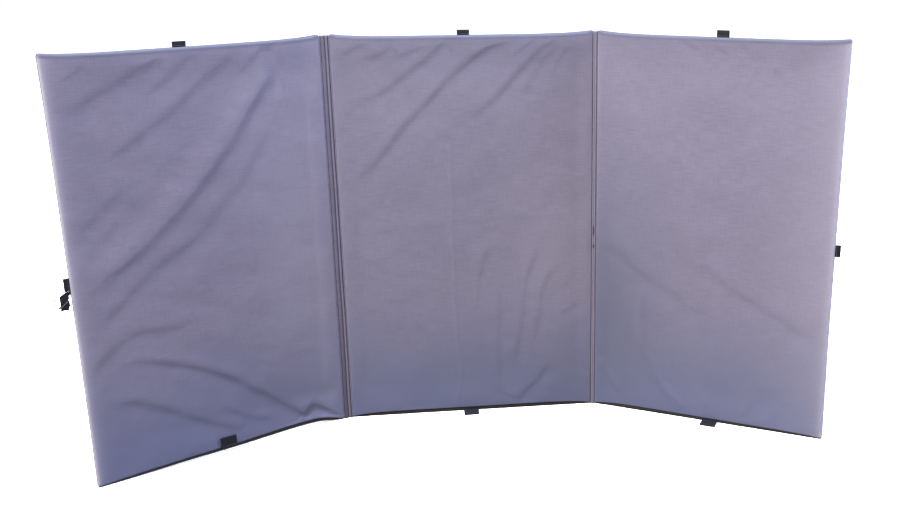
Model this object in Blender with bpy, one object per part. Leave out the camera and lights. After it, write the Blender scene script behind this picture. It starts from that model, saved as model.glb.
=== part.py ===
"""Bouldering crash pad that folds in three, opened and standing on its long edge.

Metres, +Z up. The grey face looks along -Y, and the middle panel stands over the origin, centred on
its thickness. Both wings are turned forward. Each fold is a strip of fabric, a gusset, that hinges
along both of its seams, so that the narrow fold closes first and the wide one closes over it.
"""

import math
from collections import namedtuple

import bmesh
import bpy
from mathutils import Matrix, Vector

# Panels: height, widths between side walls, and the layers from the face to the back
PANEL_HEIGHT = 1.000
LEFT_WIDTH = 0.625
MIDDLE_WIDTH = 0.638
RIGHT_WIDTH = 0.610
COVER_WALL = 0.0012
SOFT_FOAM = 0.0064
FIRM_FOAM = 0.0060
BASE_WALL = 0.0015
GAP = 0.0003

# The cover's stuffed form: crown of the face, edges drawn in between the corners, rounded edges
CROWN = 0.0012
TOP_DRAW = 0.0080
SIDE_DRAW = 0.0020
DRAW_POWER = 4
EDGE_ROUND = 0.0065
FOLD_ROUND = 0.0025
BACK_ROUND = 0.0030
HEM_ROUND = 0.0015

# The seam between cover and base: depth below the face at the sides, and the hem along the bottom
SIDE_SEAM = 0.0080
HEM_SEAM = 0.0022
HEM_CORNER = 0.0035
HEM_LEFT = 0.0080
HEM_MIDDLE = 0.0100
HEM_RIGHT = 0.0085
HEM_FLOOR = 0.0055
HEM_BELLY_share = 0.3

# Foam sheets inside the covers
FOAM_FIT = 0.0010
FOAM_FLOOR = 0.0042
FOAM_ROUND = 0.0040
RELIEF_DEPTH = 0.0043
RELIEF_STEP = 0.0010

# Gussets
GUSSET_WALL = 0.0012
GUSSET_FLOOR = 0.0010
GUSSET_TOP_DROP = 0.0015
WIDE_SINK = 0.0009
NARROW_SINK = 0.0041
FACE_CLEARANCE = 0.0004
LEFT_FOLD = math.radians(28.7)
RIGHT_FOLD = math.radians(29.0)

# Webbing loops
WEBBING = 0.0014
LOOP_EYE = 0.0008
LOOP_WIDTH = 0.030
LOOP_HEIGHT = 0.0125
TALL_LOOP_HEIGHT = 0.0165
FLOOR_LOOP_WIDTH = 0.040
FLOOR_LOOP_REACH = 0.027
RAISED_LOOP_HEIGHT = 0.027
RAISED_LOOP_CLEARANCE = 0.0005
SIDE_LOOP_HEIGHT_share = 0.498
LEFT_TOP_LOOP_SHIFT = 0.0175
RIGHT_TOP_LOOP_SHIFT = 0.0065
RIGHT_FLOOR_LOOP_SHIFT = 0.0150
MIDDLE_FLOOR_LOOP_SHIFT = -0.0060

# Hook strap, sewn in under the left side loop; drops are from that loop's middle, the rest from its swing axis
NECK_RADIUS = 0.0020
NECK_WALL = 0.0016
NECK_TOP_DROP = 0.0158
NECK_BOTTOM_DROP = 0.0235
NECK_REACH = 0.0082
STRAP_WALL = 0.0015
STRAP_WIDTH = 0.0170
STRAP_SETBACK = 0.0052
STRAP_SHOULDER_DROP = 0.0240
STRAP_BOTTOM_DROP = 0.0580
ROLLED_END = 0.0055
ROLLED_WALL = 0.0046
ROLLED_ROUND = 0.0015

# Hook, bent from round wire: a ring round the strap that slants down and out, then the hook itself
WIRE = 0.0024
RING_HALF = 0.0105
RING_RADIUS = 0.0030
RING_DROP = 0.0420
RING_SLOPE = math.radians(36.87)
RING_CLOSE = math.radians(25)
RING_LEAVE = math.radians(-35)
HOOK_WIDTH = 0.0105
HOOK_HEIGHT = 0.0140
HOOK_OUT = 0.0100
HOOK_RISE = 0.0060
HOOK_START = math.radians(-68)
HOOK_END = math.radians(80)

# Mesh divisions
ACROSS = 10
UPWARD = 12
ROUND_STEPS = 3
ARC_STEPS = 6
WIRE_STEPS = 10
WIRE_SIDES = 2

# Sizes that follow from the ones above
THICKNESS = COVER_WALL + SOFT_FOAM + FIRM_FOAM + BASE_WALL + 3 * GAP
FRONT = -THICKNESS / 2
SIDE_LOOP_RISE = PANEL_HEIGHT * SIDE_LOOP_HEIGHT_share
NECK_TOP = SIDE_LOOP_RISE - NECK_TOP_DROP
NECK_BOTTOM = SIDE_LOOP_RISE - NECK_BOTTOM_DROP
STRAP_SHOULDER = SIDE_LOOP_RISE - STRAP_SHOULDER_DROP
STRAP_BOTTOM = SIDE_LOOP_RISE - STRAP_BOTTOM_DROP
RING_HEIGHT = SIDE_LOOP_RISE - RING_DROP
BACK = THICKNESS / 2
SEAM_OFFSET = GUSSET_WALL / 2 + GAP
NARROW_CLOSED = 2 * CROWN + FACE_CLEARANCE
WIDE_CLOSED = NARROW_CLOSED + THICKNESS + CROWN + FACE_CLEARANCE
NARROW_LENGTH = NARROW_CLOSED + 2 * NARROW_SINK
WIDE_LENGTH = WIDE_CLOSED + 2 * WIDE_SINK

# outer holds -1 or +1 for the panel's free side along its own X, or 0 where both sides are folds
Panel = namedtuple("Panel", "name width hem outer")
LEFT = Panel("left", LEFT_WIDTH, HEM_LEFT, -1)
MIDDLE = Panel("middle", MIDDLE_WIDTH, HEM_MIDDLE, 0)
RIGHT = Panel("right", RIGHT_WIDTH, HEM_RIGHT, 1)

FORWARD = Vector((0, -1, 0))

FACE_GREY = (0.20, 0.195, 0.27, 1)
BASE_BLACK = (0.018, 0.018, 0.022, 1)
GUSSET_GREY = (0.13, 0.125, 0.17, 1)
WEBBING_BLACK = (0.015, 0.016, 0.022, 1)
SOFT_FOAM_CREAM = (0.75, 0.70, 0.52, 1)
FIRM_FOAM_BLUE = (0.10, 0.18, 0.32, 1)
POLISHED_STEEL = (0.72, 0.72, 0.74, 1)


def clear_scene():
    """Remove the objects of the open file."""
    for obj in list(bpy.data.objects):
        bpy.data.objects.remove(obj, do_unlink=True)


def material(name, colour, roughness, metallic=0.0):
    """A Principled material of its own for one piece."""
    made = bpy.data.materials.new(name)
    made.use_nodes = True
    shader = made.node_tree.nodes["Principled BSDF"]
    shader.inputs["Base Color"].default_value = colour
    shader.inputs["Roughness"].default_value = roughness
    shader.inputs["Metallic"].default_value = metallic
    return made


def empty(name, parent, location, turn=0.0):
    """An empty that holds a joint's axis, turned about +Z by its angle at rest."""
    obj = bpy.data.objects.new(name, None)
    bpy.context.collection.objects.link(obj)
    obj.parent = parent
    obj.location = location
    obj.rotation_euler = (0, 0, turn)
    return obj


def add_object(name, bm, parent, location, finish, facing=None):
    """Link a bmesh as a named object under its parent, with its normals facing out."""
    bmesh.ops.recalc_face_normals(bm, faces=bm.faces)
    if facing is not None:
        widest = max(bm.faces, key=lambda face: face.calc_area())
        if widest.normal.dot(facing) < 0:
            bmesh.ops.reverse_faces(bm, faces=bm.faces)
    mesh = bpy.data.meshes.new(name)
    bm.to_mesh(mesh)
    bm.free()
    mesh.shade_smooth()
    mesh.set_sharp_from_angle(angle=math.radians(35))
    mesh.materials.append(material(name, *finish))
    obj = bpy.data.objects.new(name, mesh)
    bpy.context.collection.objects.link(obj)
    obj.parent = parent
    obj.location = location
    return obj


def give_wall(obj, wall, offset=-1):
    """Thicken an open sheet into a fabric wall."""
    solid = obj.modifiers.new("Wall", "SOLIDIFY")
    solid.thickness = wall
    solid.offset = offset
    solid.use_even_offset = True
    solid.use_quality_normals = True


def draw(share):
    """How much of a drawn-in edge shows at a share of the half width, none at the corners."""
    return 1 - abs(share) ** DRAW_POWER


def hem_line(panel, across):
    """Height of the seam between the face and the black hem along the bottom."""
    return HEM_CORNER + (panel.hem - HEM_CORNER) * draw(across)


def top_line(across):
    """Height of the drawn-in top edge."""
    return PANEL_HEIGHT - TOP_DRAW * draw(across)


def side_line(panel, side, upward):
    """Distance of a side wall from the panel's middle; only the free side is drawn in."""
    pull = SIDE_DRAW * draw(upward) if side == panel.outer else 0
    return panel.width / 2 - pull


def even_share(index, count):
    """Places from -1 to 1 that lie closer together towards the edges."""
    return math.sin(math.pi / 2 * (2 * index / count - 1))


def ring_shape(radius, ring):
    """How far a rounded edge has gone out and back at one of its rings."""
    angle = math.pi / 2 * min(ring, ROUND_STEPS) / ROUND_STEPS
    return radius * math.sin(angle), radius * (1 - math.cos(angle))


def ring_sheet(rings, place, filled=True):
    """A grid of shares with rings of faces added round it, each corner then put in its place."""
    bm = bmesh.new()
    bmesh.ops.create_grid(bm, x_segments=ACROSS, y_segments=UPWARD, size=1)
    for vert in bm.verts:
        column = round((vert.co.x + 1) / 2 * ACROSS)
        row = round((vert.co.y + 1) / 2 * UPWARD)
        vert.co = Vector((even_share(column, ACROSS), 0, even_share(row, UPWARD)))
    rim = [edge for edge in bm.edges if edge.is_boundary]
    if not filled:
        inner = [face for face in bm.faces]
        bmesh.ops.delete(bm, geom=inner, context="FACES_KEEP_BOUNDARY")
        loose = [edge for edge in bm.edges if edge.is_wire and edge not in rim]
        bmesh.ops.delete(bm, geom=loose, context="EDGES")
        bmesh.ops.delete(bm, geom=[v for v in bm.verts if not v.link_edges], context="VERTS")
        bmesh.ops.contextual_create(bm, geom=rim)
    for ring in range(1, rings + 1):
        grown = bmesh.ops.extrude_edge_only(bm, edges=rim)["geom"]
        for vert in (item for item in grown if isinstance(item, bmesh.types.BMVert)):
            vert.co.y = ring
        rim = [item for item in grown if isinstance(item, bmesh.types.BMEdge)]
        rim = [edge for edge in rim if edge.is_boundary]
    for vert in bm.verts:
        vert.co = Vector(place(vert.co.x, round(vert.co.y), vert.co.z))
    return bm


def at_edge(share):
    """-1, 0 or 1: the edge that a share lies on, if any."""
    return round(share) if abs(share) > 1 - 1e-6 else 0


def cover_place(panel, across, ring, upward):
    """Where a corner of the face cover lies."""
    side = at_edge(across)
    end = at_edge(upward)
    fold_side = side and side != panel.outer
    side_radius = FOLD_ROUND if fold_side else EDGE_ROUND
    end_radius = EDGE_ROUND if end > 0 else HEM_ROUND
    half_left = side_line(panel, -1, upward)
    half_right = side_line(panel, 1, upward)
    x = -half_left + (half_left + half_right) * (across + 1) / 2
    low = hem_line(panel, across)
    z = low + (top_line(across) - low) * (upward + 1) / 2
    depth = 0
    if side:
        out, depth = ring_shape(side_radius, ring)
        x += side * (out - side_radius)
    if end:
        out, depth = ring_shape(end_radius, ring)
        z += end * (out - end_radius)
    if ring > ROUND_STEPS:
        depth = (HEM_SEAM if end < 0 else SIDE_SEAM) - GAP / 2
    return x, FRONT + depth - CROWN * draw(across) * draw(upward), z


def base_place(panel, across, ring, upward):
    """Where a corner of the black base cover lies; its rings run from the back to the seam."""
    side = at_edge(across)
    end = at_edge(upward)
    half_left = side_line(panel, -1, upward)
    half_right = side_line(panel, 1, upward)
    x = -half_left + (half_left + half_right) * (across + 1) / 2
    hem = hem_line(panel, across)
    z = hem + (top_line(across) - hem) * (upward + 1) / 2
    out, rise = ring_shape(BACK_ROUND, ring)
    if side:
        x += side * (out - BACK_ROUND)
    wall_share = max(0, ring - ROUND_STEPS) / 3
    y = BACK - rise - wall_share * (THICKNESS - BACK_ROUND - SIDE_SEAM - GAP / 2)
    if end > 0:
        z += out - BACK_ROUND
    if end < 0:
        z = BACK_ROUND - out
        if ring == ROUND_STEPS + 1:
            y = FRONT + HEM_FLOOR
        elif ring == ROUND_STEPS + 2:
            y = FRONT + HEM_SEAM + GAP
            z = HEM_BELLY_share * hem
        elif ring == ROUND_STEPS + 3:
            y = FRONT + HEM_SEAM + GAP / 2
            z = hem - GAP
    return x, y, z


def foam_half(panel, side):
    """Half width of the foam sheets towards one side."""
    pull = SIDE_DRAW if side == panel.outer else 0
    return panel.width / 2 - pull - BASE_WALL - FOAM_FIT


def foam_top():
    """Top of the foam sheets, under the lowest stretch of the cover's top edge."""
    return PANEL_HEIGHT - TOP_DRAW - BASE_WALL - FOAM_FIT


def soft_foam_place(panel, across, ring, upward):
    """Where a corner of the open-cell sheet lies: a rounded front, cut back above the hem."""
    side = at_edge(across)
    end = at_edge(upward)
    turn = math.pi / 2 * min(ring, 2) / 2
    depth = EDGE_ROUND - (EDGE_ROUND - COVER_WALL - GAP) * math.cos(turn)
    reach = FOAM_ROUND * (1 - math.sin(turn))
    left = foam_half(panel, -1)
    right = foam_half(panel, 1)
    x = -left + (left + right) * (across + 1) / 2 - side * reach
    low = panel.hem + COVER_WALL + FOAM_FIT
    z = low + (foam_top() - low) * (upward + 1) / 2
    if end > 0:
        z -= reach
    if end < 0 and ring:
        z = low - RELIEF_STEP if ring == 1 else FOAM_FLOOR
        depth = RELIEF_DEPTH
    if ring == 3:
        depth = COVER_WALL + GAP + SOFT_FOAM
    return x, FRONT + depth - CROWN * draw(across) * draw(upward), z


def make_cover(panel, parent, place):
    """Grey face fabric with its crown, drawn-in edges and rounded turn over the sides."""
    bm = ring_sheet(ROUND_STEPS + 1, lambda a, r, u: cover_place(panel, a, r, u))
    name = panel.name + "_face_cover"
    give_wall(add_object(name, bm, parent, place, (FACE_GREY, 0.8), FORWARD), COVER_WALL)


def make_base(panel, parent, place):
    """Black base fabric: the back, its turned-up sides and the hem round the bottom edge."""
    bm = ring_sheet(ROUND_STEPS + 3, lambda a, r, u: base_place(panel, a, r, u), filled=False)
    name = panel.name + "_base_cover"
    give_wall(add_object(name, bm, parent, place, (BASE_BLACK, 0.85), -FORWARD), BASE_WALL)


def make_soft_foam(panel, parent, place):
    """Open-cell foam sheet right behind the face."""
    bm = ring_sheet(3, lambda a, r, u: soft_foam_place(panel, a, r, u))
    rim = [edge for edge in bm.edges if edge.is_boundary]
    bmesh.ops.contextual_create(bm, geom=rim)
    add_object(panel.name + "_soft_foam", bm, parent, place, (SOFT_FOAM_CREAM, 0.95))


def make_firm_foam(panel, parent, place):
    """Closed-cell foam sheet between the open-cell sheet and the back."""
    left = foam_half(panel, -1)
    right = foam_half(panel, 1)
    front = FRONT + COVER_WALL + SOFT_FOAM + 2 * GAP
    bm = bmesh.new()
    bmesh.ops.create_cube(bm, size=1)
    size = Vector((left + right, FIRM_FOAM, foam_top() - FOAM_FLOOR))
    centre = Vector(((right - left) / 2, front + FIRM_FOAM / 2, (foam_top() + FOAM_FLOOR) / 2))
    bmesh.ops.scale(bm, verts=bm.verts, vec=size)
    bmesh.ops.translate(bm, verts=bm.verts, vec=centre)
    add_object(panel.name + "_firm_foam", bm, parent, place, (FIRM_FOAM_BLUE, 0.7))


def make_panel(panel, parent, place):
    """The four layers of one panel."""
    make_cover(panel, parent, place)
    make_base(panel, parent, place)
    make_soft_foam(panel, parent, place)
    make_firm_foam(panel, parent, place)


def arc(centre, radius, start, stop, steps):
    """Points of an arc in a plane, both ends included."""
    turns = (start + (stop - start) * step / steps for step in range(steps + 1))
    return [(centre[0] + radius * math.cos(t), centre[1] + radius * math.sin(t)) for t in turns]


def band(name, path, width, parent, frame, finish, wall=WEBBING):
    """A band of fabric that follows a path in its own Y and Z, as wide as said along its own X."""
    bm = bmesh.new()
    corners = [bm.verts.new((-width / 2, y, z)) for y, z in path]
    edges = [bm.edges.new(pair) for pair in zip(corners, corners[1:])]
    grown = bmesh.ops.extrude_edge_only(bm, edges=edges)["geom"]
    far = [item for item in grown if isinstance(item, bmesh.types.BMVert)]
    bmesh.ops.translate(bm, verts=far, vec=(width, 0, 0))
    bmesh.ops.transform(bm, matrix=frame, verts=bm.verts)
    obj = add_object(name, bm, parent, (0, 0, 0), (finish, 0.75))
    give_wall(obj, wall, offset=0)
    return obj


def hairpin(height):
    """A loop of webbing pressed flat: up one ply, round the end and down the other."""
    spread = (WEBBING + LOOP_EYE) / 2
    turn = arc((0, height - spread - WEBBING / 2), spread, 0, math.pi, ARC_STEPS)
    return [(spread, 0)] + turn + [(-spread, 0)]


def make_gusset(name, length, parent):
    """A fold's fabric strip along its own X, rounded where its seams hinge."""
    half = GUSSET_WALL / 2
    outline = arc((length, 0), half, -math.pi / 2, math.pi / 2, ARC_STEPS)
    outline += arc((0, 0), half, math.pi / 2, 3 * math.pi / 2, ARC_STEPS)
    bm = bmesh.new()
    corners = [bm.verts.new((x, y, GUSSET_FLOOR)) for x, y in outline]
    strip = bm.faces.new(corners)
    grown = bmesh.ops.extrude_face_region(bm, geom=[strip])["geom"]
    top = [item for item in grown if isinstance(item, bmesh.types.BMVert)]
    rise = PANEL_HEIGHT - GUSSET_TOP_DROP - GUSSET_FLOOR
    bmesh.ops.translate(bm, verts=top, vec=(0, 0, rise))
    return add_object(name, bm, parent, (0, 0, 0), (GUSSET_GREY, 0.85))


def seam_y():
    """Where the seam round the sides lies through the panel's thickness."""
    return FRONT + SIDE_SEAM


def top_loop(name, parent, place, shift, height):
    """A loop sewn into the top seam, standing up."""
    foot = top_line(0) + GAP
    frame = Matrix.Translation(place + Vector((shift, seam_y(), foot)))
    band(name, hairpin(height), LOOP_WIDTH, parent, frame, WEBBING_BLACK)


def side_loop(name, panel, parent, place):
    """A loop sewn into the free side's seam, pointing outwards."""
    wall = side_line(panel, panel.outer, 2 * SIDE_LOOP_RISE / PANEL_HEIGHT - 1)
    spot = place + Vector((panel.outer * (wall + GAP), seam_y(), SIDE_LOOP_RISE))
    frame = Matrix.Translation(spot) @ Matrix.Rotation(panel.outer * math.pi / 2, 4, "Y")
    band(name, hairpin(LOOP_HEIGHT), LOOP_WIDTH, parent, frame, WEBBING_BLACK)


def raised_loop(name, panel, parent, place):
    """A loop sewn into the bottom hem's seam and folded up over the face."""
    reach = WEBBING + LOOP_EYE / 2
    spot = Vector((0, FRONT - RAISED_LOOP_CLEARANCE - reach, panel.hem + COVER_WALL))
    frame = Matrix.Translation(place + spot)
    band(name, hairpin(RAISED_LOOP_HEIGHT), FLOOR_LOOP_WIDTH, parent, frame, WEBBING_BLACK)


def floor_loop(name, panel, parent, place, shift):
    """A loop sewn into the bottom hem's seam and lying forward on the floor."""
    lower = WEBBING / 2 + GAP
    upper = lower + WEBBING + LOOP_EYE
    near = FRONT - GAP - WEBBING / 2
    bend = upper - lower
    outer_turn = arc((near - bend, upper + bend), bend, 0, -math.pi / 2, ARC_STEPS)
    tip = arc((near - FLOOR_LOOP_REACH, (lower + upper) / 2), (upper - lower) / 2,
              math.pi / 2, 3 * math.pi / 2, ARC_STEPS)
    path = [(near, panel.hem)] + outer_turn + tip + [(near - bend, lower)]
    frame = Matrix.Translation(place + Vector((shift, 0, 0)))
    band(name, path, FLOOR_LOOP_WIDTH, parent, frame, WEBBING_BLACK)


def prism(outline, axis, start, length):
    """A bmesh of a flat outline drawn out along one axis; the outline holds the other two."""
    bm = bmesh.new()
    corners = []
    for first, second in outline:
        spot = [first, second]
        spot.insert(axis, start)
        corners.append(bm.verts.new(spot))
    sheet = bm.faces.new(corners)
    grown = bmesh.ops.extrude_face_region(bm, geom=[sheet])["geom"]
    moved = [item for item in grown if isinstance(item, bmesh.types.BMVert)]
    way = Vector((0, 0, 0))
    way[axis] = length
    bmesh.ops.translate(bm, verts=moved, vec=way)
    return bm


def joined(obj, name, bm):
    """Unite a hidden helper shape with an object."""
    helper = add_object(name, bm, obj.parent, obj.location, (WEBBING_BLACK, 0.8))
    helper.hide_render = True
    helper.display_type = "WIRE"
    union = obj.modifiers.new(name, "BOOLEAN")
    union.operation = "UNION"
    union.solver = "EXACT"
    union.object = helper


def rounded_box(centre, width, height, radius):
    """The outline of a box with rounded corners."""
    across = width / 2 - radius
    up = height / 2 - radius
    outline = []
    for turn, (side, end) in enumerate(((1, 1), (-1, 1), (-1, -1), (1, -1))):
        corner = (centre[0] + side * across, centre[1] + end * up)
        outline += arc(corner, radius, turn * math.pi / 2, (turn + 1) * math.pi / 2, 3)
    return outline


def make_hook_strap(axis):
    """The strap: a neck that swings at the seam, one ply of webbing and a rolled end."""
    inner = -STRAP_SETBACK
    outer = inner - STRAP_WIDTH
    sheet = [(-NECK_RADIUS / 2, NECK_TOP), (-NECK_REACH, NECK_TOP), (outer, STRAP_SHOULDER),
             (outer, STRAP_BOTTOM + ROLLED_ROUND), (inner, STRAP_BOTTOM + ROLLED_ROUND),
             (inner, NECK_BOTTOM), (-NECK_RADIUS / 2, NECK_BOTTOM)]
    bm = prism(sheet, 1, -STRAP_WALL / 2, STRAP_WALL)
    strap = add_object("hook_strap", bm, axis, (0, 0, 0), (WEBBING_BLACK, 0.8))
    barrel = arc((0, 0), NECK_RADIUS, 0, 2 * math.pi - math.pi / ARC_STEPS, 2 * ARC_STEPS - 1)
    joined(strap, "neck_barrel", prism(barrel, 2, NECK_BOTTOM, NECK_TOP - NECK_BOTTOM))
    middle = (0, STRAP_BOTTOM + ROLLED_END / 2)
    roll = rounded_box(middle, ROLLED_WALL, ROLLED_END, ROLLED_ROUND)
    joined(strap, "rolled_end", prism(roll, 0, outer, STRAP_WIDTH))


def hook_path():
    """Centre line of the wire in the hook's own frame, whose X runs out along the ring's bars."""
    rear = arc((RING_HALF, 0), RING_RADIUS, RING_CLOSE, math.pi / 2, 3)
    inner = arc((-RING_HALF, 0), RING_RADIUS, math.pi / 2, 3 * math.pi / 2, ARC_STEPS)
    front = arc((RING_HALF, 0), RING_RADIUS, -math.pi / 2, RING_LEAVE, 3)
    path = [Vector((along, depth, 0)) for along, depth in rear + inner + front]
    out = Vector((math.cos(RING_SLOPE), -math.sin(RING_SLOPE)))
    up = Vector((math.sin(RING_SLOPE), math.cos(RING_SLOPE)))
    for step in range(WIRE_STEPS + 1):
        turn = HOOK_START + (HOOK_END - HOOK_START) * step / WIRE_STEPS
        spot = Vector((HOOK_OUT + HOOK_WIDTH * math.cos(turn), HOOK_RISE + HOOK_HEIGHT * math.sin(turn)))
        path.append(Vector((spot.dot(out), 0, spot.dot(up))))
    return path


def make_hook(axis):
    """The hook: one bent wire with closed ends."""
    curve = bpy.data.curves.new("hook", "CURVE")
    curve.dimensions = "3D"
    curve.bevel_depth = WIRE / 2
    curve.bevel_resolution = WIRE_SIDES
    curve.use_fill_caps = True
    path = hook_path()
    wire = curve.splines.new("POLY")
    wire.points.add(len(path) - 1)
    for point, spot in zip(wire.points, path):
        point.co = (-spot.x, spot.y, spot.z, 1)
    curve.materials.append(material("hook", POLISHED_STEEL, 0.15, 1.0))
    hook = bpy.data.objects.new("hook", curve)
    bpy.context.collection.objects.link(hook)
    hook.parent = axis


def main():
    clear_scene()
    pad = empty("pad", None, (0, 0, 0))
    make_panel(MIDDLE, pad, Vector())
    top_loop("middle_top_loop", pad, Vector(), 0, LOOP_HEIGHT)
    floor_loop("middle_floor_loop", MIDDLE, pad, Vector(), MIDDLE_FLOOR_LOOP_SHIFT)

    left_seam = -(MIDDLE_WIDTH / 2 + SEAM_OFFSET)
    left_inner = empty("left_inner_axis", pad, (left_seam, FRONT + WIDE_SINK, 0), LEFT_FOLD / 2)
    gusset = make_gusset("left_gusset", WIDE_LENGTH, left_inner)
    gusset.rotation_euler = (0, 0, math.pi)
    left_outer = empty("left_outer_axis", left_inner, (-WIDE_LENGTH, 0, 0), LEFT_FOLD / 2)
    left_place = Vector((-(SEAM_OFFSET + LEFT_WIDTH / 2), -FRONT - WIDE_SINK, 0))
    make_panel(LEFT, left_outer, left_place)
    top_loop("left_top_loop", left_outer, left_place, -LEFT_TOP_LOOP_SHIFT, LOOP_HEIGHT)
    side_loop("left_side_loop", LEFT, left_outer, left_place)
    raised_loop("left_floor_loop", LEFT, left_outer, left_place)

    wall = side_line(LEFT, LEFT.outer, 2 * NECK_TOP / PANEL_HEIGHT - 1)
    swing = left_place + Vector((-(wall + GAP + NECK_RADIUS), seam_y(), 0))
    strap_axis = empty("strap_axis", left_outer, swing)
    make_hook_strap(strap_axis)
    ring_spot = (-(STRAP_SETBACK + STRAP_WIDTH / 2), 0, RING_HEIGHT)
    hook_axis = empty("hook_axis", strap_axis, ring_spot)
    hook_axis.rotation_euler = (0, -RING_SLOPE, 0)
    make_hook(hook_axis)

    right_seam = MIDDLE_WIDTH / 2 + SEAM_OFFSET
    right_inner = empty("right_inner_axis", pad, (right_seam, FRONT + NARROW_SINK, 0), -RIGHT_FOLD / 2)
    make_gusset("right_gusset", NARROW_LENGTH, right_inner)
    right_outer = empty("right_outer_axis", right_inner, (NARROW_LENGTH, 0, 0), -RIGHT_FOLD / 2)
    right_place = Vector((SEAM_OFFSET + RIGHT_WIDTH / 2, -FRONT - NARROW_SINK, 0))
    make_panel(RIGHT, right_outer, right_place)
    top_loop("right_top_loop", right_outer, right_place, RIGHT_TOP_LOOP_SHIFT, TALL_LOOP_HEIGHT)
    side_loop("right_side_loop", RIGHT, right_outer, right_place)
    floor_loop("right_floor_loop", RIGHT, right_outer, right_place, RIGHT_FLOOR_LOOP_SHIFT)


main()
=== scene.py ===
"""Looks of a three-fold bouldering crash pad, opened and standing on its long edge.

Metres, +Z up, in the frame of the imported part: the grey face looks along -Y and the middle panel
stands over the origin. Each panel's fabric is worked out in the panel's own flat place and then
turned to where its wing stands, so that folds and seams are given from the panel's corners.
"""

import logging
import math
from contextlib import contextmanager
from dataclasses import dataclass, field, replace
from enum import Enum
from typing import Callable, Iterator, Optional, Sequence, Union

import bmesh
import bpy
import numpy as np
from mathutils import Matrix, Vector


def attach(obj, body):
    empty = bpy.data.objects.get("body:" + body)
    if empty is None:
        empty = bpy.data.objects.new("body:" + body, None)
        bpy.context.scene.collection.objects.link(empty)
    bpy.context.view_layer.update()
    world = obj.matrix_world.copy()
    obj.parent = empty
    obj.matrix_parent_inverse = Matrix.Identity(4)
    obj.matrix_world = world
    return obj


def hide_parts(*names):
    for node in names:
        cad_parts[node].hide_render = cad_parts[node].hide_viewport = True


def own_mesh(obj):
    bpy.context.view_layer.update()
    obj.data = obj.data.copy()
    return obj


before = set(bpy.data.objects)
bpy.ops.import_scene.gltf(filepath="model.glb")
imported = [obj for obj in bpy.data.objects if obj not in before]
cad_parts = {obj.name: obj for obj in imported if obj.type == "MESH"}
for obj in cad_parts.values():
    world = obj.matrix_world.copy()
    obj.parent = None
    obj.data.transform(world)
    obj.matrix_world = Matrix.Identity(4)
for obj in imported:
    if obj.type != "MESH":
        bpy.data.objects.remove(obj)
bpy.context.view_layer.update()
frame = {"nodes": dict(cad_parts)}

LOG = logging.getLogger("crash_pad")
MM = 0.001
CLOTH_UV = "Cloth"
EDGE_NAME = "edge"
CROWDING = 0.35

Point = tuple[float, float]
Number = Union[float, "Signal"]
Array = np.ndarray
Piece = bpy.types.Object
Finish = bpy.types.Material
Shape = bmesh.types.BMesh


class Slot(Enum):
    """The record's material slots."""

    FACE = "grey_fabric"
    BASE = "black_fabric"
    GUSSET = "gusset_fabric"
    WEBBING = "webbing"
    SOFT_FOAM = "open_cell_foam"
    FIRM_FOAM = "closed_cell_foam"
    WIRE = "polished_wire"


# ---- shader maths


class Signal:
    """A number or colour in a shader, so that Python's operators add Math nodes."""

    def __init__(self, tree: bpy.types.NodeTree, socket: bpy.types.NodeSocket) -> None:
        """Wrap an output socket of a tree."""
        self.tree = tree
        self.socket = socket

    def maths(self, operation: str, *values: Number) -> "Signal":
        """Add one Math node.

        Args:
            operation: The node's operation.
            *values: Its inputs in order, signals or numbers.

        Returns:
            The node's result.
        """
        node = self.tree.nodes.new("ShaderNodeMath")
        node.operation = operation
        for place, value in zip(node.inputs, values):
            if isinstance(value, Signal):
                self.tree.links.new(value.socket, place)
            else:
                place.default_value = value
        return Signal(self.tree, node.outputs[0])

    def __add__(self, other: Number) -> "Signal":
        """Sum."""
        return self.maths("ADD", self, other)

    def __radd__(self, other: Number) -> "Signal":
        """Sum with a number first."""
        return self.maths("ADD", other, self)

    def __sub__(self, other: Number) -> "Signal":
        """Difference."""
        return self.maths("SUBTRACT", self, other)

    def __rsub__(self, other: Number) -> "Signal":
        """Difference from a number."""
        return self.maths("SUBTRACT", other, self)

    def __mul__(self, other: Number) -> "Signal":
        """Product."""
        return self.maths("MULTIPLY", self, other)

    def __rmul__(self, other: Number) -> "Signal":
        """Product with a number first."""
        return self.maths("MULTIPLY", other, self)

    def __truediv__(self, other: Number) -> "Signal":
        """Quotient."""
        return self.maths("DIVIDE", self, other)

    def __pow__(self, other: Number) -> "Signal":
        """Power."""
        return self.maths("POWER", self, other)

    def __abs__(self) -> "Signal":
        """Size without sign."""
        return self.maths("ABSOLUTE", self)

    def sine(self) -> "Signal":
        """Sine of radians."""
        return self.maths("SINE", self)

    def above(self, level: float) -> "Signal":
        """1 where the signal is above a level, else 0."""
        return self.maths("GREATER_THAN", self, level)

    def clamped(self) -> "Signal":
        """The signal held between 0 and 1."""
        return self.maths("MINIMUM", self.maths("MAXIMUM", self, 0.0), 1.0)


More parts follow.
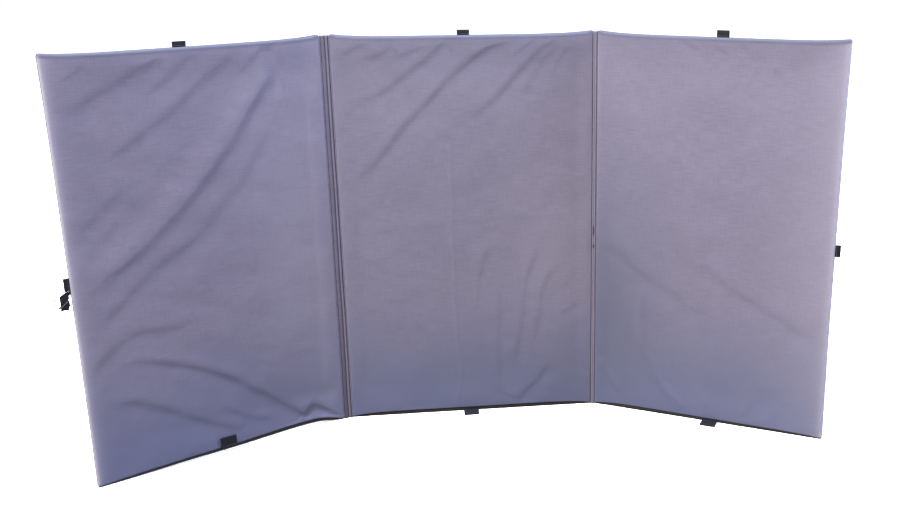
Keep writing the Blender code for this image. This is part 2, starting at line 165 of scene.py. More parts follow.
class Graph:
    """The node tree of one material."""

    def __init__(self, name: str) -> None:
        """Start a material with a Principled shader.

        Args:
            name: The material's name.
        """
        self.material = bpy.data.materials.new(name)
        self.material.use_nodes = True
        self.tree = self.material.node_tree
        self.shader = self.tree.nodes["Principled BSDF"]

    def node(self, kind: str, settings: dict, sockets: dict) -> bpy.types.Node:
        """Add any node.

        Args:
            kind: The node's type.
            settings: Its properties, set first.
            sockets: Values or signals by the socket's name or number.

        Returns:
            The node.
        """
        node = self.tree.nodes.new(kind)
        for key, value in settings.items():
            setattr(node, key, value)
        for key, value in sockets.items():
            if isinstance(value, Signal):
                self.tree.links.new(value.socket, node.inputs[key])
            else:
                node.inputs[key].default_value = value
        return node

    def out(self, node: bpy.types.Node, name: Union[str, int] = 0) -> Signal:
        """One output of a node as a signal."""
        return Signal(self.tree, node.outputs[name])

    def mixed(self, amount: Number, first: Union[tuple, Signal], second: Union[tuple, Signal]) -> Signal:
        """Mix two colours.

        Args:
            amount: Share of the second, 0 to 1.
            first: A colour or a colour signal.
            second: The other one.

        Returns:
            The mixed colour.
        """
        settings = {"data_type": "RGBA", "blend_type": "MIX", "clamp_factor": True}
        return self.out(self.node("ShaderNodeMix", settings, {0: amount, 6: first, 7: second}), 2)

    def noise(self, place: Signal, stretch: tuple, detail: float = 2.0, rough: float = 0.5) -> Signal:
        """Noise from about 0 to 1 whose grain is set by a scale for each axis.

        Args:
            place: The coordinates, in metres.
            stretch: Grains per metre along each axis.
            detail: The Noise node's detail.
            rough: The Noise node's roughness.

        Returns:
            The noise's factor.
        """
        mapped = self.node("ShaderNodeMapping", {}, {"Vector": place, "Scale": stretch})
        sockets = {"Vector": self.out(mapped), "Scale": 1.0, "Detail": detail, "Roughness": rough}
        return self.out(self.node("ShaderNodeTexNoise", {}, sockets), "Fac")

    def cloth_place(self) -> Signal:
        """The piece's own cloth coordinates, in metres."""
        return self.out(self.node("ShaderNodeUVMap", {"uv_map": CLOTH_UV}, {}))

    def object_place(self) -> Signal:
        """The object coordinates, in metres."""
        return self.out(self.node("ShaderNodeTexCoord", {}, {}), "Object")

    def parts(self, place: Signal) -> tuple[Signal, Signal, Signal]:
        """The X, Y and Z of a vector."""
        split = self.node("ShaderNodeSeparateXYZ", {}, {0: place})
        return self.out(split, 0), self.out(split, 1), self.out(split, 2)

    def edge(self) -> Signal:
        """The piece's own edge attribute: wear, painted light and painted shade, mostly 0 inside."""
        return self.out(self.node("ShaderNodeAttribute", {"attribute_name": EDGE_NAME}, {}), "Fac")

    def bumped(self, height: Signal, depth: float) -> None:
        """Feed the shader's normal from a height, given how deep it is in metres."""
        sockets = {"Height": height, "Distance": depth, "Strength": 1.0}
        self.feed("Normal", self.out(self.node("ShaderNodeBump", {}, sockets)))

    def feed(self, name: str, value: Union[float, tuple, Signal]) -> None:
        """Set or link one socket of the Principled shader.

        Args:
            name: The socket's name.
            value: A number, a colour or a signal.
        """
        if isinstance(value, Signal):
            self.tree.links.new(value.socket, self.shader.inputs[name])
        else:
            self.shader.inputs[name].default_value = value


# ---- finishes


@dataclass(frozen=True)
class WovenFinish:
    """Coated plain-weave fabric: yarns, slubs, soft mottling, wear along the edges mixed with painted
    light and shade from the edge attribute, and painted shade towards the foot.

    Each grain says how many grains of noise there are in a metre along each axis.
    """

    name: str
    colour: tuple = (0.084, 0.0775, 0.1085)
    dark: tuple = (0.068, 0.0625, 0.089)
    wear_and_shading_colour: tuple = (0.238, 0.226, 0.272)
    painted_shade: tuple = (0.036, 0.041, 0.066)
    painted_low_shade: tuple = (0.051, 0.058, 0.102)
    painted_low_height: float = 0.34
    pitch: float = 0.00075
    roughness: float = 0.72
    sheen: float = 0.06
    gloss: float = 0.22
    yarn_depth: float = 0.00012
    slub_share: float = 1.15
    mottle_share: float = 0.36
    wear_and_shading_share: float = 0.70
    painted_low_share: float = 0.0
    warp_waver: float = 2.2
    weft_waver: float = 1.6
    sheen_roughness: float = 0.55
    waver_grain: tuple = (90.0, 90.0, 90.0)
    weft_grain: tuple = (26.0, 430.0, 1.0)
    warp_grain: tuple = (560.0, 30.0, 1.0)
    cloud_grain: tuple = (7.0, 7.0, 7.0)
    patch_grain: tuple = (34.0, 42.0, 40.0)
    rub_grain: tuple = (260.0, 260.0, 260.0)

    def material(self) -> Finish:
        """Build the material.

        Returns:
            The material.
        """
        graph = Graph(self.name)
        place = graph.cloth_place()
        across, along, _ = graph.parts(place)
        turn = math.pi / self.pitch
        waver = graph.noise(place, self.waver_grain, 1.0)
        warp = (across * turn + waver * self.warp_waver).sine()
        weft = (along * turn + waver * self.weft_waver).sine()
        cells = warp * weft
        yarns = abs(cells) ** 0.6
        over = cells.above(0.0)
        weft_slub = graph.noise(place, self.weft_grain, 4.0, 0.62)
        warp_slub = graph.noise(place, self.warp_grain, 3.0, 0.6)
        slub = weft_slub * 0.62 + warp_slub * 0.38
        cloud = graph.noise(place, self.cloud_grain, 4.0, 0.55)
        patch = graph.noise(place, self.patch_grain, 3.0, 0.6)
        tone = (slub - 0.5) * (2.2 * self.slub_share) + (cloud - 0.5) * (1.6 * self.mottle_share)
        tone = tone + (patch - 0.5) * (0.9 * self.mottle_share) + (over - 0.5) * 0.10
        # Random slub and mottle tone, with painted shade between the yarns.
        shade = (0.5 + tone - (1.0 - yarns) * 0.10).clamped()
        body = graph.mixed(shade, (*self.dark, 1), (*self._lit(), 1))
        # The edge attribute mixes in wear along the edges, painted highlights on the face and painted shade
        # in the gussets' grooves.
        rub = graph.noise(place, self.rub_grain, 3.0, 0.7)
        wear_and_shading = (graph.edge() * (rub * 0.7 + 0.2)).clamped() * self.wear_and_shading_share
        # Painted shade: the face grows darker and bluer towards its foot, with cloudy edges.
        if self.painted_low_share:
            low = (1.0 - along / self.painted_low_height + (cloud - 0.5) * 0.8).clamped()
            body = graph.mixed(low * self.painted_low_share, body, (*self.painted_low_shade, 1))
            # Painted shade: where the edge attribute is below 0, the face is mixed to a dark bluish colour.
            body = graph.mixed((graph.edge() * -1.0).clamped(), body, (*self.painted_shade, 1))
        graph.feed("Base Color", graph.mixed(wear_and_shading, body, (*self.wear_and_shading_colour, 1)))
        graph.feed("Roughness", (self.roughness + (slub - 0.5) * 0.14 - wear_and_shading * 0.06).clamped())
        graph.feed("Sheen Weight", self.sheen)
        graph.feed("Sheen Roughness", self.sheen_roughness)
        graph.feed("Specular IOR Level", self.gloss)
        graph.bumped(yarns * 0.75 + slub * 0.8 + patch * 0.35, self.yarn_depth)
        return graph.material

    def _lit(self) -> tuple:
        """The light end of the tone, as far above the colour as the dark end is below."""
        return tuple(2 * middle - low for middle, low in zip(self.colour, self.dark))


@dataclass(frozen=True)
class WebbingFinish:
    """Flat woven webbing: ribs in a herringbone along its length."""

    name: str
    colour: tuple = (0.0025, 0.003, 0.005)
    lit: tuple = (0.008, 0.0085, 0.013)
    rib: float = 0.0013
    chevron: float = 0.0052
    row: float = 0.0016
    depth: float = 0.00035
    roughness: float = 0.62
    sheen: float = 0.01
    gloss: float = 0.10
    fuzz_grain: tuple = (900.0, 700.0, 1.0)
    fade_grain: tuple = (60.0, 60.0, 60.0)

    def material(self) -> Finish:
        """Build the material.

        Returns:
            The material.
        """
        graph = Graph(self.name)
        place = graph.cloth_place()
        across, along, _ = graph.parts(place)
        turn = 2 * math.pi / self.rib
        zigzag = abs((across * (math.pi / self.chevron)).sine()) * 1.8
        ribs = (along * turn + zigzag * 2.0).sine() * 0.5 + 0.5
        rows = abs((across * (math.pi / self.row)).sine())
        fuzz = graph.noise(place, self.fuzz_grain, 3.0, 0.65)
        fade = graph.noise(place, self.fade_grain, 3.0, 0.6)
        height = ribs * 0.55 + rows * 0.35 + fuzz * 0.3
        # Tone follows the weave's height: painted light on the raised ribs, painted shade in the grooves.
        shade = (height * 0.62 + (fade - 0.5) * 0.5).clamped()
        graph.feed("Base Color", graph.mixed(shade, (*self.colour, 1), (*self.lit, 1)))
        graph.feed("Roughness", (self.roughness + (fuzz - 0.5) * 0.3).clamped())
        graph.feed("Sheen Weight", self.sheen)
        graph.feed("Specular IOR Level", self.gloss)
        graph.bumped(height, self.depth)
        return graph.material


@dataclass(frozen=True)
class FoamFinish:
    """Cut foam: pores and the faint lines of the blade."""

    name: str
    colour: tuple
    dark: tuple
    cell: float
    depth: float
    roughness: float = 0.86
    cloud_grain: tuple = (30.0, 30.0, 30.0)
    blade_grain: tuple = (8.0, 8.0, 600.0)

    def material(self) -> Finish:
        """Build the material.

        Returns:
            The material.
        """
        graph = Graph(self.name)
        place = graph.object_place()
        sockets = {"Vector": place, "Scale": 1.0 / self.cell}
        cells = graph.out(graph.node("ShaderNodeTexVoronoi", {}, sockets), "Distance")
        cloud = graph.noise(place, self.cloud_grain, 4.0)
        blade = graph.noise(place, self.blade_grain, 2.0)
        # Painted shade: the foam is darker where its pores sink.
        shade = (cells * 0.9 + (cloud - 0.5) * 0.6).clamped()
        graph.feed("Base Color", graph.mixed(shade, (*self.colour, 1), (*self.dark, 1)))
        graph.feed("Roughness", (self.roughness + (cloud - 0.5) * 0.2).clamped())
        graph.bumped(cells * -1.0 + blade * 0.3, self.depth)
        return graph.material


@dataclass(frozen=True)
class WireFinish:
    """Bright drawn steel wire with light rubbing."""

    name: str
    colour: tuple = (0.17, 0.18, 0.21)
    dull: tuple = (0.07, 0.075, 0.095)
    roughness: float = 0.16
    depth: float = 0.00004
    rub_grain: tuple = (700.0, 700.0, 700.0)
    draw_grain: tuple = (2600.0, 2600.0, 500.0)

    def material(self) -> Finish:
        """Build the material.

        Returns:
            The material.
        """
        graph = Graph(self.name)
        place = graph.object_place()
        rub = graph.noise(place, self.rub_grain, 4.0, 0.6)
        draw = graph.noise(place, self.draw_grain, 2.0, 0.6)
        graph.feed("Metallic", 1.0)
        rubbed = (rub * 1.4 - 0.5).clamped()
        graph.feed("Base Color", graph.mixed(rubbed, (*self.colour, 1), (*self.dull, 1)))
        graph.feed("Roughness", (self.roughness + (rub - 0.5) * 0.22).clamped())
        graph.bumped(rub * 0.5 + draw * 0.5, self.depth)
        return graph.material


@dataclass(frozen=True)
class ThreadFinish:
    """Twisted polyester thread."""

    name: str
    colour: tuple = (0.014, 0.014, 0.018)
    paler: float = 1.7
    roughness: float = 0.5
    sheen: float = 0.15
    depth: float = 0.0001
    twist_grain: tuple = (2400.0, 2400.0, 2400.0)

    def material(self) -> Finish:
        """Build the material.

        Returns:
            The material.
        """
        graph = Graph(self.name)
        place = graph.object_place()
        twist = graph.noise(place, self.twist_grain, 2.0)
        pale = tuple(self.paler * part for part in self.colour)
        graph.feed("Base Color", graph.mixed(twist, (*self.colour, 1), (*pale, 1)))
        graph.feed("Roughness", (self.roughness + (twist - 0.5) * 0.2).clamped())
        graph.feed("Sheen Weight", self.sheen)
        graph.bumped(twist, self.depth)
        return graph.material


@dataclass(frozen=True)
class FloorFinish:
    """Plain pale studio floor."""

    name: str = "studio_floor"
    colour: tuple = (0.94, 0.925, 0.91)
    roughness: float = 0.9
    gloss: float = 0.1
    glow: float = 0.35

    def material(self) -> Finish:
        """Build the material.

        Returns:
            The material.
        """
        graph = Graph(self.name)
        graph.feed("Base Color", (*self.colour, 1))
        graph.feed("Roughness", self.roughness)
        graph.feed("Specular IOR Level", self.gloss)
        graph.feed("Emission Color", (1.0, 1.0, 1.0, 1.0))
        graph.feed("Emission Strength", self.glow)
        return graph.material


# ---- mesh helpers


def smoothstep(share: Array) -> Array:
    """0 to 1 with soft ends, for shares clipped to 0..1."""
    held = np.clip(share, 0, 1)
    return held * held * (3 - 2 * held)


def draw(share: Array, sharp: int = 4) -> Array:
    """How much of a drawn-in edge shows at a share of the half width, none at the corners."""
    return 1 - np.abs(share) ** sharp


def ripples(x: Array, z: Array, length: float, count: int, seed: int) -> Array:
    """Soft waves in all directions, of about one unit either way.

    Args:
        x: Places across, in metres.
        z: Places up, in metres.
        length: The middle wave length, in metres.
        count: How many waves are summed.
        seed: The seed of their directions and phases.

    Returns:
        The height at each place.
    """
    rng = np.random.default_rng(seed)
    total = np.zeros_like(x)
    for _ in range(count):
        turn, phase = rng.uniform(0, 2 * math.pi, 2)
        rate = 2 * math.pi / (length * rng.uniform(0.55, 2.0))
        total += np.sin(rate * (x * math.cos(turn) + z * math.sin(turn)) + phase)
    return total / math.sqrt(count)


def curved(points: Sequence[Point], steps: int = 6) -> Array:
    """A smooth line through the points, by Catmull-Rom.

    Args:
        points: The points in order.
        steps: Parts that each stretch is cut into.

    Returns:
        The line's points, one a row.
    """
    known = np.array(points, float)
    padded = np.vstack([2 * known[0] - known[1], known, 2 * known[-1] - known[-2]])
    line = []
    for first, start, stop, last in zip(padded, padded[1:], padded[2:], padded[3:]):
        for t in np.arange(steps) / steps:
            line.append(0.5 * (2 * start + (stop - first) * t
                               + (2 * first - 5 * start + 4 * stop - last) * t * t
                               + (3 * start - first - 3 * stop + last) * t ** 3))
    return np.array(line + [known[-1]])


@dataclass(frozen=True)
class Crease:
    """A line in the fabric: a step that drops below it, a ridge along it, or both.

    drop is the step's height, ridge the ridge's, width how wide the line is, fade how far its
    sides reach, above how wide the ridge's upper side is where it differs, and ends how long the
    line takes to die out at its two ends, all in metres.
    """

    REACH = 4.5
    UNEVEN = 0.16
    UNEVEN_LENGTH = 0.09
    UNEVEN_COUNT = 6

    path: tuple
    drop: float = 0.0
    ridge: float = 0.0
    width: float = 0.006
    fade: float = 0.028
    above: float = 0.0
    ends: tuple = (0.05, 0.05)

    def height(self, x: Array, z: Array) -> Array:
        """How far the fabric stands out at each place.

        Args:
            x: Places across, in metres.
            z: Places up, in metres.

        Returns:
            The height at each place, in metres.
        """
        line = curved(self.path)
        reach = self.REACH * max(self.fade, self.width, self.above)
        near = ((x > line[:, 0].min() - reach) & (x < line[:, 0].max() + reach)
                & (z > line[:, 1].min() - reach) & (z < line[:, 1].max() + reach))
        total = np.zeros_like(x)
        spots = np.stack([x[near], z[near]], -1)
        if not len(spots):
            return total
        best = np.full(len(spots), 1e9)
        signed = np.zeros(len(spots))
        walked = np.zeros(len(spots))
        way = 1.0 if line[-1, 0] >= line[0, 0] else -1.0
        gone = 0.0
        for start, stop in zip(line, line[1:]):
            step = stop - start
            length = float(np.hypot(*step))
            share = np.clip((spots - start) @ step / length ** 2, 0, 1)
            offset = spots - start - share[:, None] * step
            apart = np.hypot(offset[:, 0], offset[:, 1])
            closer = apart < best
            side = step[0] * (spots[:, 1] - start[1]) - step[1] * (spots[:, 0] - start[0])
            best[closer] = apart[closer]
            signed[closer] = (np.sign(side) * way * apart)[closer]
            walked[closer] = gone + share[closer] * length
            gone += length
        taper = smoothstep(walked / self.ends[0]) * smoothstep((gone - walked) / self.ends[1])
        seed = len(line) + int(1e4 * abs(self.path[0][0]))
        waves = ripples(walked, np.zeros_like(walked), self.UNEVEN_LENGTH, self.UNEVEN_COUNT, seed)
        taper *= 1 + self.UNEVEN * waves
        rise = self.drop * np.tanh(signed / self.width) * np.exp(-np.abs(signed) / self.fade)
        wide = np.where(signed > 0, self.above or self.width, self.width)
        rise += self.ridge * np.exp(-((signed / wide) ** 2))
        total[near] = rise * taper
        return total


def cloth_object(name: str, bm: Shape) -> Piece:
    """Link a bmesh as a smooth-shaded object at the origin.

    Args:
        name: The object's name.
        bm: The shape, which is freed.

    Returns:
        The object.
    """
    mesh = bpy.data.meshes.new(name)
    bm.to_mesh(mesh)
    bm.free()
    mesh.shade_smooth()
    obj = bpy.data.objects.new(name, mesh)
    bpy.context.scene.collection.objects.link(obj)
    return obj


def read_points(obj: Piece) -> Array:
    """The vertices of an object's mesh.

    Args:
        obj: The piece.

    Returns:
        The vertices in metres, one a row.
    """
    flat = np.zeros(len(obj.data.vertices) * 3, np.float32)
    obj.data.vertices.foreach_get("co", flat)
    return flat.reshape(-1, 3).astype(float)


def write_points(obj: Piece, points: Array) -> None:
    """Put vertices back in an object's mesh."""
    obj.data.vertices.foreach_set("co", points.astype(np.float32).ravel())
    obj.data.update()


def stood(points: Array, seat: Matrix) -> Array:
    """Points of a piece's own frame, one a row, turned to where the piece stands."""
    turn = np.array(seat)
    return points @ turn[:3, :3].T + turn[:3, 3]


@contextmanager
def edited(obj: Piece) -> Iterator[Shape]:
    """An object's mesh as a bmesh, written back at the end of the block.

    Args:
        obj: The piece.

    Yields:
        The bmesh.
    """
    bm = bmesh.new()
    bm.from_mesh(obj.data)
    yield bm
    bm.to_mesh(obj.data)
    bm.free()


def fit(obj: Piece, body: str, node: Optional[str] = None) -> None:
    """Make a piece ride on a body, and hide the CAD node that it replaces.

    Args:
        obj: The piece.
        body: The body's name.
        node: The CAD node that it replaces, if any.
    """
    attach(obj, body)
    if node:
        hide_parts(node)


def write_cloth_map(obj: Piece, flat: Array) -> None:
    """Give a mesh its cloth coordinates.

    Args:
        obj: The piece.
        flat: Each vertex's place in the flat cloth, in metres, one a row.
    """
    layer = obj.data.uv_layers.new(name=CLOTH_UV)
    index = np.zeros(len(obj.data.loops), np.int32)
    obj.data.loops.foreach_get("vertex_index", index)
    layer.data.foreach_set("uv", flat[index].astype(np.float32).ravel())


def write_edges(obj: Piece, amount: Array) -> None:
    """Give a mesh its edge attribute, per vertex: wear along its edges, painted light and painted shade."""
    layer = obj.data.attributes.new(EDGE_NAME, "FLOAT", "POINT")
    layer.data.foreach_set("value", amount.astype(np.float32))


def add_modifier(obj: Piece, name: str, kind: str, **settings: object) -> None:
    """Add a modifier.

    Args:
        obj: The piece.
        name: The modifier's name.
        kind: Its type.
        **settings: Its properties.
    """
    modifier = obj.modifiers.new(name, kind)
    for key, value in settings.items():
        setattr(modifier, key, value)


def new_verts(made: dict) -> list:
    """The vertices among what an operator made."""
    return [item for item in made["geom"] if isinstance(item, bmesh.types.BMVert)]


def ringed_grid(columns: int, rows: int, rings: int, close: bool) -> Shape:
    """A grid from -1 to 1 in X and Y with rings of faces round it, whose Z is the ring's number.

    Args:
        columns: Cells across.
        rows: Cells up.
        rings: Rings round the grid.
        close: Whether the last ring is filled with one face.

    Returns:
        The bmesh.
    """
    bm = bmesh.new()
    bmesh.ops.create_grid(bm, x_segments=columns, y_segments=rows, size=1)
    rim = [edge for edge in bm.edges if edge.is_boundary]
    for ring in range(1, rings + 1):
        made = bmesh.ops.extrude_edge_only(bm, edges=rim)
        for vert in new_verts(made):
            vert.co.z = ring
        rim = [item for item in made["geom"] if isinstance(item, bmesh.types.BMEdge)]
        rim = [edge for edge in rim if edge.is_boundary]
    if close:
        bmesh.ops.contextual_create(bm, geom=rim)
    return bm


def spaced(share: Array, closer: float) -> Array:
    """Even places from -1 to 1 drawn closer together towards the edges."""
    return (1 - closer) * share + closer * np.sin(share * math.pi / 2)


# ---- panels


@dataclass(frozen=True)
class PanelSizes:
    """Sizes that the three panels share."""

    height: float = 1.000
    front: float = -0.008
    back: float = 0.008
    crown: float = 0.0012
    top_draw: float = 0.0066
    side_draw: float = 0.0020
    edge_round: float = 0.0065
    fold_round: float = 0.0025
    back_round: float = 0.0030
    hem_round: float = 0.0015
    side_seam: float = 0.0080
    hem_seam: float = 0.0022
    hem_corner: float = 0.0035
    hem_floor: float = 0.0042
    gap: float = 0.0003
    corner_reach: float = 0.016
    corner_round: float = 0.0055
    fold_corner: float = 0.0020
    seam_tuck: float = 0.0007
    roll_off: float = 0.0022
    slack: float = 0.0032
    slack_reach: float = 0.100
    fold_reach: float = 0.045
    lining: float = 0.0056
    base_wall: float = 0.0012
    base_slack: float = 0.0009
    flex_height: float = 0.16
    lift_height: float = 0.30
    lift_reach: float = 0.075
    lift_dip: float = 0.3
    dip_start: float = 0.14
    dip_reach: float = 0.2
    lift_end: float = 0.36
    pull_fine: float = 0.021
    pull_broad: float = 0.055


SIZES = PanelSizes()


@dataclass
class Panel:
    """One of the three panels, with its own frame: X across, -Y out of the face, Z up.

    outer is the side that has no fold, -1 left, 1 right or 0 neither. flex and lift say how far the
    foot bends back and is drawn up beside the fold, and the painted shading is broad painted light and
    shade on the face, each a place across and up, a reach across and up, and an amount.
    """

    name: str
    body: str
    width: float
    hem: float
    outer: int
    seat: Matrix
    seed: int
    creases: list = field(default_factory=list)
    back_creases: list = field(default_factory=list)
    flex: float = 0.0
    flex_place: float = 0.11
    lift: float = 0.0
    hem_lean: float = 0.0
    painted_shading: tuple = ()

    def side_line(self, side: int, upward: Array) -> Array:
        """Distance of a side wall from the panel's middle."""
        pull = SIZES.side_draw * draw(upward) if side == self.outer else 0 * upward
        return self.width / 2 - pull

    def hem_line(self, across: Array) -> Array:
        """Height of the seam between the face and the black hem."""
        return SIZES.hem_corner + (self.hem + self.hem_lean * across - SIZES.hem_corner) * draw(across, 8)

    def top_line(self, across: Array) -> Array:
        """Height of the top edge."""
        return SIZES.height - SIZES.top_draw * draw(across, 6)

    def corner_radii(self) -> Point:
        """The radius of the corners on the left and on the right."""
        free, fold = SIZES.corner_round, SIZES.fold_corner
        return (free if self.outer < 0 else fold), (free if self.outer > 0 else fold)

    def shade(self, x: Array, z: Array) -> Array:
        """Broad painted light and shade on the face: above 0 painted lighter, below 0 painted dim and bluish.

        Args:
            x: Places across.
            z: Places up.

        Returns:
            The tone at each place.
        """
        total = np.zeros_like(x)
        for place_x, place_z, reach_x, reach_z, amount in self.painted_shading:
            total += amount * np.exp(-((x - place_x) / reach_x) ** 2 - ((z - place_z) / reach_z) ** 2)
        return total

    def seam_wave(self, along: Array, side: int) -> Array:
        """Small pull of the seam on the fabric along an edge.

        Args:
            along: Places along the edge.
            side: The edge's own number, which sets the waves.

        Returns:
            The pull, about one unit either way.
        """
        zero = np.zeros_like(along)
        fine = ripples(along, zero, SIZES.pull_fine, 7, self.seed + 5 * side + 40)
        return 0.6 * fine + 0.4 * ripples(along, zero, SIZES.pull_broad, 5, self.seed + 5 * side + 60)

    def bent(self, points: Array) -> Array:
        """The panel's own bend at the foot of its fold, where the foam flexes back.

        Args:
            points: Points in the panel's frame, one a row.

        Returns:
            The points, moved.
        """
        if not self.flex:
            return points
        near = np.clip(self.width / 2 + points[:, 0] * self.outer, 0, None) / self.flex_place
        along = (near * np.exp(1 - near)) ** 2
        down = np.exp(-((np.clip(points[:, 2], 0, None) / SIZES.flex_height) ** 2))
        moved = points.copy()
        moved[:, 1] += self.flex * along * down
        moved[:, 2] += self.raised(points[:, 0]) * (1 - smoothstep(points[:, 2] / SIZES.lift_height))
        return moved

    def raised(self, x: Array) -> Array:
        """How far the lower edge is drawn up.

        Args:
            x: Places across.

        Returns:
            The rise at each place.
        """
        inward = self.width / 2 + x * self.outer
        dip = SIZES.lift_dip * smoothstep((inward - SIZES.dip_start) / SIZES.dip_reach)
        share = smoothstep(inward / SIZES.lift_reach) * (1 - dip)
        return self.lift * share * (1 - smoothstep((inward - SIZES.lift_end) / (self.width - SIZES.lift_end)))

    def seated(self, points: Array) -> Array:
        """Points of the panel's frame turned to where the panel stands."""
        return stood(self.bent(points), self.seat)

    def seated_point(self, x: float, y: float, z: float) -> Vector:
        """One point of the panel's frame where the panel stands."""
        return self.seat @ Vector((x, y, z))

    def direction(self, x: float, y: float, z: float) -> Vector:
        """One direction of the panel's frame where the panel stands."""
        return self.seat.to_3x3() @ Vector((x, y, z))


def grid_places(obj: Piece, closer: float) -> tuple[Array, Array, Array]:
    """Where each vertex of a ringed grid lies.

    Args:
        obj: The grid.
        closer: How much its rows crowd towards the edges.

    Returns:
        The shares across and up, and the ring.
    """
    points = read_points(obj)
    ring = np.rint(points[:, 2]).astype(int)
    return spaced(points[:, 0], closer), spaced(points[:, 1], closer), ring


def ends_of(share: Array) -> Array:
    """-1, 0 or 1: the edge that each share lies on, if any."""
    return np.where(np.abs(share) > 1 - 1e-6, np.rint(share), 0).astype(int)


def seam_level(z: Array) -> Array:
    """How far below the face the seam lies down a side, nearer to it at the foot."""
    low = smoothstep((z - SIZES.hem_corner) / SIZES.corner_reach)
    return SIZES.hem_seam + (SIZES.side_seam - SIZES.hem_seam) * low


def faded(beside: Array, bands: Sequence[Point]) -> Array:
    """The sum of bands, each an amount at the edge and the reach that it dies out over."""
    return sum(amount * np.exp(-beside / reach) for amount, reach in bands)


def rounded_corners(x: Array, z: Array, left: Array, right: Array, low: float, high: Array,
                    radii: Point) -> tuple[Array, Array]:
    """Turn the square corners of a panel's outline into round ones.

    Args:
        x: Places across.
        z: Places up.
        left: The left side's place at each point.
        right: The right side's place at each point.
        low: The bottom's height.
        high: The top's height at each point.
        radii: The radius of the corners on the left and on the right.

    Returns:
        The places across and up, moved.
    """
    x, z = x.copy(), z.copy()
    for side, edge, radius in ((-1, left, radii[0]), (1, right, radii[1])):
        for end, rim in ((-1, low), (1, high)):
            out = side * (x - edge) + radius
            up = end * (z - rim) + radius
            near = (out > 0) & (up > 0)
            far = np.hypot(out, up) + 1e-12
            scale = np.where(near, np.maximum(out, up) / far, 1.0)
            x = np.where(near, x - side * out * (1 - scale), x)
            z = np.where(near, z - end * up * (1 - scale), z)
    return x, z


